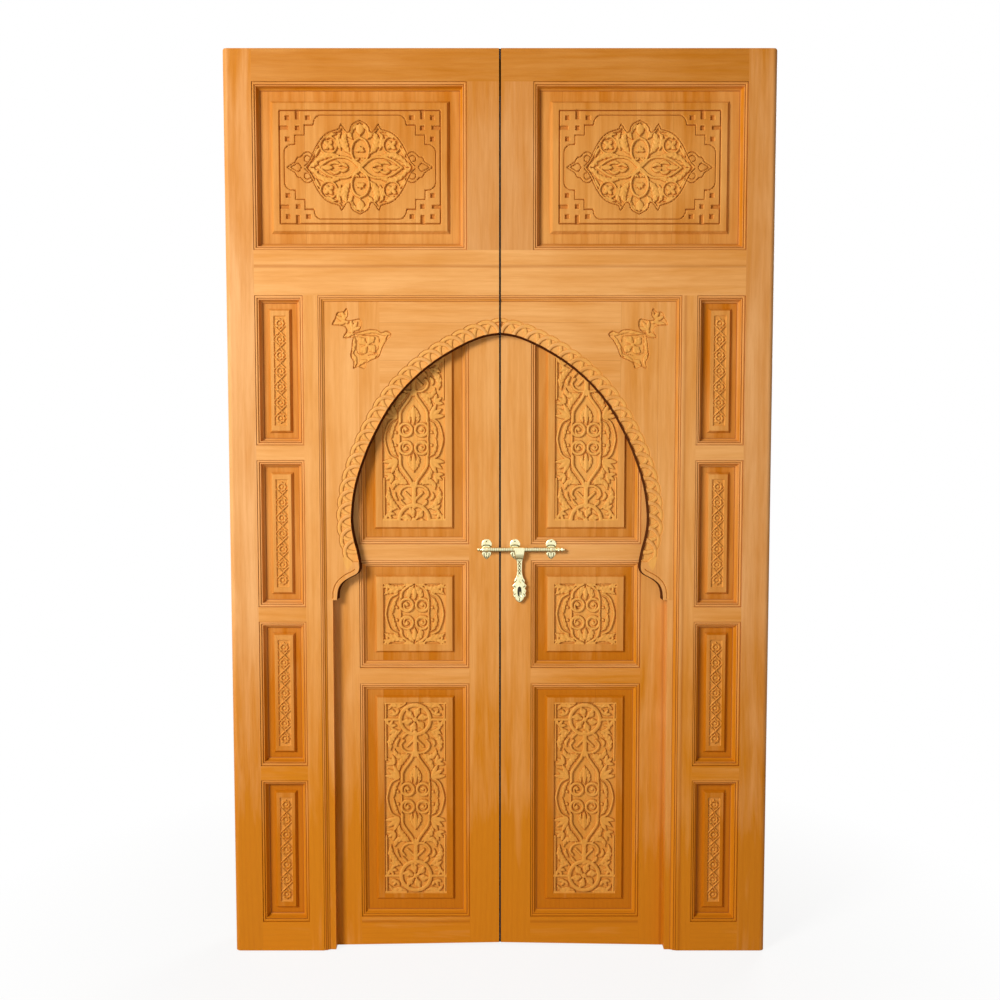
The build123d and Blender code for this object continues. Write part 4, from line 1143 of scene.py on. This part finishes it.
def board_surface():
    """The braid along the arch, the corner spray and the line along the corbel."""
    arch = smooth(arch_edge)
    centres = even_steps(arch, braid_pitch)
    corbel_line = offset_line(smooth(corbel_edge[1:], 3), 13)[2:-1]
    half_line, corbel_level = 1.2, 1245
    spray_x0, spray_x1, spray_foot = 320, 530, 1825
    spray = corner_spray()

    def surface(x, z):
        cut, tint = np.zeros(x.shape), np.zeros(x.shape)
        distance = follow(arch, x, z)[0]
        band = distance < braid_reach + 12
        cut[band], tint[band] = braid(centres, distance[band], x[band], z[band])
        near_spray = (x > spray_x0) & (x < spray_x1) & (z > spray_foot)
        spray_cut, spray_tint = spray(x[near_spray], z[near_spray])
        cut[near_spray] = np.maximum(cut[near_spray], spray_cut)
        tint[near_spray] = np.maximum(tint[near_spray], spray_tint)
        low_part = z < corbel_level
        line = stand(half_line - follow(corbel_line, x[low_part], z[low_part])[0])
        cut[low_part] = line_depth * line
        # The line along the corbel is tinted as painted shade.
        tint[low_part] = 1.4 * line
        return -braid_depth * cut, tint
    return surface


def corner_spray():
    """The spray in the corner of the board, as a function that gives its depth and its tint."""
    shield = [(446, 1948), (420, 1955), (398, 1960), (376, 1958), (364, 1950), (346, 1956),
              (334, 1945), (348, 1928), (362, 1904), (372, 1878), (394, 1868), (410, 1858),
              (416, 1842), (436, 1848), (450, 1842), (448, 1862), (458, 1880), (454, 1905),
              (452, 1926)]
    bud = [(446, 1952), (452, 1938), (480, 1936), (470, 1956), (476, 1970), (494, 1974),
           (514, 1976), (504, 1996), (498, 2012), (480, 2014), (470, 2024), (466, 2004),
           (474, 1990), (454, 1988), (430, 1992), (426, 1972), (434, 1956)]
    window = [(440, 1942), (384, 1944), (372, 1930), (382, 1888), (430, 1884), (442, 1900)]
    petals = turned_leaves(408, 1914, 4, 45, (4, 17, 33), 23) + [boss(408, 1914, 6.0)]
    leaves = [
        leaf([(448, 1948), (420, 1952), (392, 1957), (364, 1950)], 15, 4.0),
        leaf([(380, 1950), (360, 1950), (334, 1946)], 14, 2.0),
        leaf([(346, 1946), (362, 1916), (370, 1890), (378, 1876)], 13, 4.0),
        leaf([(376, 1886), (394, 1872), (412, 1856)], 14, 3.0),
        leaf([(448, 1944), (449, 1914), (452, 1888)], 13, 4.0),
        leaf([(454, 1890), (446, 1868), (448, 1844)], 14, 3.0),
        leaf([(408, 1866), (424, 1862), (434, 1850)], 13, 2.0),
        leaf([(448, 1948), (466, 1944), (480, 1938)], 12, 2.0),
        *fan(454, 1958, (85, 122, 160), 32, 11),
        *fan(470, 1984, (-12, 28, 62, 96), 40, 12),
        boss(454, 1956, 6.0),
        boss(470, 1984, 6.0),
    ]
    outlines = [strap(points + points[:1], 2.6, 1.0, 3) for points in (shield, bud)]
    loops = [np.array(smooth(points + points[:1], 3)[:-1]) for points in (shield, bud)]
    window_loop = np.array(smooth(window + window[:1], 2)[:-1])
    window_line = np.vstack([window_loop, window_loop[:1]])

    def spray(x, z):
        places = np.column_stack([x, z])
        in_window = inside_of(window_loop, places)
        in_shape = inside_of(loops[0], places) | inside_of(loops[1], places)
        pocket = in_window * stand(follow(window_line, x, z)[0] - 0.5) * (1 - highest(petals, x, z))
        veins = in_shape * ~in_window * (1 - highest(leaves, x, z))
        carved = np.maximum(pocket, veins)
        outline = highest(outlines, x, z)
        # Outlines are tinted as painted shade.
        return np.maximum(carved, line_depth * outline), np.where(outline > 0.4, outline_painted_shade, carved)
    return spray


def board_places():
    """Places inside the board's outline: close along the braid, the corbel and the spray, wide elsewhere."""
    fine_pitch, corbel_level = 1.6, 1257
    start = even_steps([arch_lead_in] + smooth(arch_edge, 6), fine_pitch)
    bands = np.vstack([offset_line(start, distance) for distance in np.arange(1.3, braid_reach + 5, 1.5)])
    bands = bands[bands[:, 1] > corbel_level + 1]
    near_corbel = grid(430, 536, strip_height + 1, corbel_level - 1, 2.0)
    near_corbel = near_corbel[follow(smooth(corbel_edge, 3), near_corbel[:, 0], near_corbel[:, 1])[0] < 20]
    arch = smooth(arch_edge)
    spray = away_from(arch, grid(326, 524, 1836, 2032, fine_pitch), braid_reach + 9)
    sparse = away_from(arch, grid(20, inner_stile_inner, strip_height + 8, transom_bottom, 42.0),
                       braid_reach + 12)
    return np.vstack([bands, near_corbel, spray, sparse])


def make_arched_boards():
    """The boards over the small leaves."""
    curve = np.vstack([even_steps(smooth(edge, 6), 2.0) for edge in (arch_edge, corbel_edge)])
    outline = np.vstack([curve, [
        corbel_edge[-1], (inner_stile_inner, strip_height),
        (inner_stile_inner, transom_bottom), (meeting_edge, transom_bottom)]])
    points, faces, tint = cut_plate([outline], board_places(), board_surface(), board_front, board_back)
    first_back = len(points) - len(outline)
    points[first_back:first_back + len(curve), ::2] = offset_line(curve, -edge_slant)
    points[first_back:, 0] = np.maximum(points[first_back:, 0], meeting_edge)
    # The slanting inner edges take a near-black material: painted shadow under the arch.
    slanting = [int(max(face) >= first_back > min(face)) for face in faces]
    for side in SIDES:
        side_points, side_faces = on_side(points, faces, side)
        new_piece(f"{side}_arched_board_carved", side_points, side_faces, [woods["board"], painted_edge_shadow],
                  f"{side}_leaf", [f"{side}_arched_board"], tint=tint,
                  material_indexes=slanting)


make_arched_boards()

# Members kept from the frame: eased edges and their wood


def dress(node, material, ease=1.2):
    """A CAD node with its material and its sharp edges eased."""
    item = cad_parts[node]
    item.data.materials.clear()
    item.data.materials.append(material)
    bevel = item.modifiers.new("eased_edges", "BEVEL")
    bevel.width = ease * mm
    bevel.segments = 2
    bevel.limit_method = "ANGLE"
    bevel.angle_limit = radians(35)
    bevel.harden_normals = True


member_woods = {
    "outer_stile": "outer", "inner_stile": "stile", "top_rail": "top_rail", "transom_rail": "rail",
    "upper_meeting_stile": "upper_stile", "side_rails": "rail", "arch_strip": "stile",
    "wicket_hinge_stile": "wicket_stile", "wicket_meeting_stile": "wicket_stile",
    "wicket_rails": "wicket_rail", "jamb": "jamb",
}
hinge_nodes = ("leaf_hinge_plates", "leaf_hinge_pins", "frame_hinge_plates",
               "wicket_hinge_plates", "wicket_hinge_seats", "wicket_hinge_pins")
for side in SIDES:
    for node, tone in member_woods.items():
        dress(f"{side}_{node}", woods[tone])
    for node in hinge_nodes:
        dress(f"{side}_{node}", hinge_iron, 0.4)
dress("head", woods["head"])

# Bolt set

bolt_y = (low("bolt", "y") + high("bolt", "y")) / 2
bolt_z = (low("bolt", "z") + high("bolt", "z")) / 2
bolt_start, bolt_end = low("bolt", "x"), high("bolt", "x")
bolt_radius = 6.9
knob_end, beads_start = 22, 30
staple_plate_thickness = 2.5


def turned_bar(profile, axis_y, axis_z, dimple):
    """A round bar along x from (place, radius) pairs, with a hammered pattern between its ends."""
    turns = 48
    profile = np.asarray(profile, float)
    places = profile[:, 0]
    angles = np.linspace(0, 2 * pi, turns, endpoint=False)
    middle = (places > places[0] + knob_end + 2) & (places < places[-1] - beads_start)
    waves = np.cos(6 * angles[None, :] + 0.55 * places[:, None]) * np.cos(
        6 * angles[None, :] - 0.55 * places[:, None])
    sunk = np.clip(waves, 0, 1) * middle[:, None]
    radius = profile[:, 1][:, None] - dimple * sunk
    grid_points = np.stack([
        np.repeat(places[:, None], turns, axis=1), axis_y + radius * np.cos(angles),
        axis_z + radius * np.sin(angles)], axis=-1).reshape(-1, 3)
    return grid_points, tube_faces(len(places), turns), (0.75 * sunk ** 0.7).ravel()


def swelling(start, end, low_radius, high_radius, steps=8):
    """A bead of a turned bar, as (place, radius) pairs."""
    return [(start + (end - start) * i / steps,
             low_radius + (high_radius - low_radius) * sin(pi * i / steps) ** 0.7) for i in range(steps + 1)]


def make_bolt():
    """The bolt: a small pointed knob, a hammered shank and two beads."""
    shank_start, shank_end = bolt_start + knob_end, bolt_end - beads_start
    profile = [(bolt_start, 1.2)] + swelling(bolt_start + 0.4, bolt_start + 10, 2.6, 5.4)
    profile += [(bolt_start + 12, 4.2), (bolt_start + 15, 5.2), (shank_start - 3, 6.3)]
    shank = np.arange(shank_start, shank_end, 1.3)
    profile += [(place, bolt_radius) for place in shank]
    profile += swelling(shank_end + 1, shank_end + 4, bolt_radius - 1.4, bolt_radius + 0.6, 4)
    profile += swelling(shank_end + 5, shank_end + 15, 4.8, 8.0)
    profile += swelling(shank_end + 16, shank_end + 26, 4.6, 7.6)
    profile += [(bolt_end - 2.6, 4.4), (bolt_end - 1, 3.2), (bolt_end, 1.0)]
    points, faces, tint = turned_bar(profile, bolt_y, bolt_z, 0.7)
    new_piece("bolt_shank", points, faces, [brass], "bolt", ["bolt"], crease=50.0, tint=tint)


def half_outline(half):
    """A closed soft outline from the right half of a symmetric one, given from top to bottom."""
    right = np.array(smooth(half))
    left = right[1:-1][::-1] * (-1, 1)
    return np.vstack([right, left])[::-1]


def rounded_edge(outline, reach, rise, x, z):
    """A face that falls off round to its outline: 0 beyond the reach, minus the rise at the outline."""
    inside = np.clip(follow(np.vstack([outline, outline[:1]]), x, z)[0] / reach, 0, 1)
    return rise * (np.sqrt(np.clip(1 - (1 - inside) ** 2, 0, 1)) - 1)


def chased(points, width=2.4):
    """A chased line."""
    return strap(points, width, 1.0, 3)


staple_half = [(0, 32), (7, 30.5), (13, 26), (16.3, 18), (16.5, 11), (13.5, 4), (11.5, -2), (13.5, -9),
               (14.5, -15), (11, -22), (5, -28), (0, -32)]


def bridge(x0, x1, inner, thickness):
    """The strap that holds the bolt to its plate."""
    outer = inner + thickness
    back = wicket_front - staple_plate_thickness - bolt_y
    steps = 20
    turns = [pi / 2 + pi * i / steps for i in range(steps + 1)]
    path = [(back, 1)] + [(cos(t), sin(t)) for t in turns] + [(back, -1)]
    ease = 0.8
    section = [(x0, inner), (x0, outer - ease), (x0 + ease, outer), (x1 - ease, outer),
               (x1, outer - ease), (x1, inner)]
    points = []
    for i, (along, up) in enumerate(path):
        straight = i in (0, len(path) - 1)
        for x, radius in section:
            points.append((x, bolt_y + along * (1 if straight else radius), bolt_z + up * radius))
    return np.array(points), tube_faces(len(path), len(section)), np.zeros(len(points))


def dome(x, z, face_y, radius, rise):
    """A nail's domed head."""
    turns, rings, tip_radius = 16, 4, 0.05
    points = []
    for i in range(rings + 1):
        lean = pi / 2 * i / rings
        for j in range(turns):
            turn = 2 * pi * j / turns
            reach = radius * cos(lean) if i < rings else tip_radius
            points.append((x + reach * cos(turn), face_y - rise * sin(lean), z + reach * sin(turn)))
    return np.array(points), tube_faces(rings + 1, turns), np.zeros(len(points))


def make_staples():
    """The three plates with their straps and nails."""
    outline = half_outline(staple_half)
    marks = [chased([(side * 3, -28), (side * 7, -21), (side * 8, -12)]) for side in (1, -1)]
    marks += [chased([(0, -28), (0, -13)]), chased([(-12, 8), (-9, 12), (0, 13), (9, 12), (12, 8)], 3.0)]
    marks += [boss(0, 24.5, 2.3)]

    def surface(px, pz):
        sunk = highest(marks, px, pz)
        return rounded_edge(outline, 8.0, 2.2, px, pz) - 0.7 * sunk, 0.8 * sunk

    places = grid(-17, 17, -33, 33, 1.1)
    face_y = wicket_front - staple_plate_thickness
    for node, body in (("left_staple", "left_wicket"), ("middle_staple", "right_wicket"),
                       ("end_staple", "right_wicket")):
        x = (low(node, "x") + high(node, "x")) / 2
        points, faces, tint = cut_plate([outline], places, surface, face_y, wicket_front)
        points, faces, tint = merged([
            (points + (x, 0, bolt_z), faces, tint),
            bridge(x - 4.5, x + 4.5, bolt_radius + 0.15, 2.3),
            dome(x, bolt_z - 19, face_y + 0.6, 2.2, 1.6)])
        new_piece(f"{node}_cast", points, faces, [brass], body, [node], crease=40.0, tint=tint)


hasp_half = [(15, 8), (15.6, -2), (14.2, -16), (12.2, -30), (9.0, -36), (8.0, -50), (7.8, -68),
             (9.4, -80), (12.5, -89), (17.5, -98), (15.0, -105), (22.5, -113), (17.5, -122), (22, -130),
             (18.4, -138), (20.4, -146), (14.5, -151), (11.5, -158), (7, -163), (0, -166.5)]
hasp_thickness, sleeve_radius = 4.0, 9.6


def make_hasp():
    """The hasp: a wide fold over the bolt, a chased neck and a leafy head with its slot."""
    x = (low("hasp", "x") + high("hasp", "x")) / 2
    slot_z, slot_half_w, slot_half_h = -132.0, 6.4, 15.5
    right = np.array(hasp_half, float)
    outline = np.vstack([right, right[:-1][::-1] * (-1, 1)])[::-1]
    turns = np.linspace(0, 2 * pi, 28, endpoint=False)
    slot = np.column_stack([
        slot_half_w * np.sign(np.cos(turns)) * np.abs(np.cos(turns)) ** 0.8,
        slot_z + slot_half_h * np.sign(np.sin(turns)) * np.abs(np.sin(turns)) ** 0.8])
    slot_line = np.vstack([slot, slot[:1]])
    neck = [((3, -36 - 11 * k), (-3, -44 - 11 * k)) for k in range(4)]
    head = [((9, -95), (13, -102)), ((12, -118), (18, -114)), ((13, -139), (17, -144))]
    marks = [chased([(side * mx, mz) for mx, mz in line]) for line in neck + head for side in (1, -1)]
    marks += [chased([(0, -154), (0, -162)]), chased([(-11, -30), (0, -27), (11, -30)])]

    def surface(px, pz):
        rim = 0.9 * np.sin(pi * np.clip(follow(slot_line, px, pz)[0] / 3.4, 0, 1))
        fold = np.clip((pz + 36) / 24, 0, 1)
        sleeve = np.sqrt(sleeve_radius ** 2 - np.clip(pz, 0, sleeve_radius) ** 2) - hasp_thickness / 2
        forward = sleeve * fold * fold * (3 - 2 * fold)
        sunk = highest(marks, px, pz)
        return forward + rounded_edge(outline, 5.0, 2.0, px, pz) + rim - 0.8 * sunk, 0.85 * sunk

    places = grid(-23, 23, -168, 8, 1.2)
    points, faces, tint = cut_plate([outline, slot], places, surface,
                                    bolt_y - hasp_thickness / 2, bolt_y + hasp_thickness / 2)
    points = points + (x, 0, bolt_z)
    new_piece("hasp_cast", points, faces, [brass], "hasp", ["hasp"], crease=40.0, tint=tint)


def block(x0, x1, y0, y1, z0, z1):
    """A plain box."""
    points = [(x, y, z) for z in (z0, z1) for y in (y0, y1) for x in (x0, x1)]
    faces = [(0, 2, 3, 1), (4, 5, 7, 6), (0, 1, 5, 4), (2, 6, 7, 3), (0, 4, 6, 2), (1, 3, 7, 5)]
    return np.array(points, float), [list(face) for face in faces], np.zeros(8)


def make_nose():
    """The small brass loop that comes through the hasp's slot, on a dark plate that is painted shade behind
    the slot.
    """
    x, z = ((low("hasp_nose", axis) + high("hasp_nose", axis)) / 2 for axis in "xz")
    front, back = low("hasp_nose", "y"), high("hasp_nose", "y")
    seat_half_w, seat_half_h, seat_thickness = 8, 19, 1.2
    loop_x0, loop_x1, loop_foot, loop_top, bar = x + 0.5, x + 3.5, z - 11, z + 2, 3
    # The seat is painted shade behind the slot.
    seat = block(x - seat_half_w, x + seat_half_w, back - seat_thickness, back,
                 z - seat_half_h, z + seat_half_h)
    loop = merged([block(loop_x0, loop_x1, front, back - 1, loop_top - bar, loop_top),
                   block(loop_x0, loop_x1, front, back - 1, loop_foot, loop_foot + bar),
                   block(loop_x0, loop_x1, front - 0.5, front - 0.5 + bar, loop_foot, loop_top)])
    points, faces, tint = merged([seat, loop])
    indexes = [1] * len(seat[1]) + [0] * len(loop[1])
    new_piece("hasp_nose_loop", points, faces, [brass, hinge_iron], "right_wicket", ["hasp_nose"],
              tint=tint, material_indexes=indexes)


make_bolt()
make_staples()
make_hasp()
make_nose()

# Near-black strips on the meeting edges: painted shadow in the seam, which also keeps light from coming
# through it


def make_seam_shadow_strip(side, label, body, z0, z1, front):
    """A thin near-black strip that fills the seam a little behind the front, as painted shadow."""
    inner, thickness, setback = 0.06, 4.0, 4.0
    points, faces, _ = block(inner, meeting_edge, front + setback, front + setback + thickness, z0, z1)
    points, faces = on_side(points, faces, side)
    new_piece(f"{side}_{label}_seal", points, faces, [painted_seam_shadow], f"{side}_{body}")


wicket_top = high("right_wicket_meeting_stile", "z")
wicket_foot = low("right_wicket_meeting_stile", "z") + 1
board_top = transom_bottom - arch_moulding_width
leaf_top = high("right_top_rail", "z") - 0.2
for side in SIDES:
    make_seam_shadow_strip(side, "board", "leaf", wicket_top + 0.4, board_top, board_front)
    make_seam_shadow_strip(side, "leaf", "leaf", board_top, leaf_top, leaf_front)
    make_seam_shadow_strip(side, "wicket", "wicket", wicket_foot, wicket_top, wicket_front)

# Floor, lights and camera


def seen_rays(tree):
    """1 for the rays that see a surface: from the camera, off a glossy surface or through a clear one."""
    rays = add(tree, "ShaderNodeLightPath").outputs
    seen = calc(tree, "MAXIMUM", rays["Is Camera Ray"], rays["Is Glossy Ray"])
    return calc(tree, "MAXIMUM", seen, rays["Is Transmission Ray"])


def make_floor():
    """A plain pale floor that keeps the door's shadow."""
    material, tree, shader = new_material("pale_floor")
    shader.inputs["Base Color"].default_value = (0.86, 0.855, 0.845, 1)
    shader.inputs["Roughness"].default_value = 0.85
    glow = add(tree, "ShaderNodeEmission", {"Color": (1, 1, 1, 1), "Strength": 1.0})
    place = add(tree, "ShaderNodeTexCoord").outputs["Object"]
    away = add(tree, "ShaderNodeVectorMath", {0: place}, operation="LENGTH").outputs["Value"]
    share = remap(tree, away, 0.9, 1.9, 0.86, 1.0)
    blend = add(tree, "ShaderNodeMixShader", {0: calc(tree, "MULTIPLY", seen_rays(tree), share)})
    tree.links.new(shader.outputs[0], blend.inputs[1])
    tree.links.new(glow.outputs[0], blend.inputs[2])
    tree.links.new(blend.outputs[0], tree.nodes["Material Output"].inputs[0])
    mesh = bpy.data.meshes.new("floor")
    reach = 30.0
    mesh.from_pydata([(-reach, -reach, 0), (reach, -reach, 0), (reach, reach, 0), (-reach, reach, 0)],
                     [], [(0, 1, 2, 3)])
    mesh.materials.append(material)
    floor = bpy.data.objects.new("floor", mesh)
    bpy.context.scene.collection.objects.link(floor)


def make_world():
    """Soft even light all round; the camera and glossy surfaces see a white backdrop."""
    world = bpy.data.worlds.new("studio")
    bpy.context.scene.world = world
    world.use_nodes = True
    tree = world.node_tree
    shade = tree.nodes["Background"]
    shade.inputs["Color"].default_value = (1.0, 0.95, 0.88, 1)
    shade.inputs["Strength"].default_value = 0.19
    white = add(tree, "ShaderNodeBackground", {"Color": (1, 1, 1, 1), "Strength": 1.0})
    blend = add(tree, "ShaderNodeMixShader", {0: seen_rays(tree)})
    tree.links.new(shade.outputs[0], blend.inputs[1])
    tree.links.new(white.outputs[0], blend.inputs[2])
    tree.links.new(blend.outputs[0], tree.nodes["World Output"].inputs[0])


def area_light(name, place, power):
    """A soft lamp, two metres square, aimed at the door's middle."""
    target = (0, 0, 1.4)
    lamp = bpy.data.lights.new(name, "AREA")
    lamp.shape = "RECTANGLE"
    lamp.size = lamp.size_y = 2.0
    lamp.energy = power
    lamp.color = (1.0, 0.98, 0.95)
    item = bpy.data.objects.new(name, lamp)
    item.location = place
    item.rotation_euler = (Vector(target) - Vector(place)).to_track_quat("-Z", "Y").to_euler()
    bpy.context.scene.collection.objects.link(item)


def make_camera():
    """The photograph's viewpoint: in front of the middle, a little above half height."""
    sensor_width = 0.036
    focal_in_pixels, picture_width = 1075, 1000
    distance, height, tilt = 3.315, 1.648, 3.64
    data = bpy.data.cameras.new("camera")
    data.sensor_width = sensor_width / mm
    data.lens = focal_in_pixels / picture_width * sensor_width / mm
    camera = bpy.data.objects.new("camera", data)
    camera.location = (0, leaf_front * mm - distance, height)
    camera.rotation_euler = (radians(90 - tilt), 0, 0)
    bpy.context.scene.collection.objects.link(camera)
    bpy.context.scene.camera = camera


make_floor()
make_world()
area_light("key", (-4.3, -4.8, 3.9), 456)
area_light("back", (2.4, 3.6, 3.0), 110)
make_camera()
bpy.context.scene.view_settings.view_transform = "Standard"
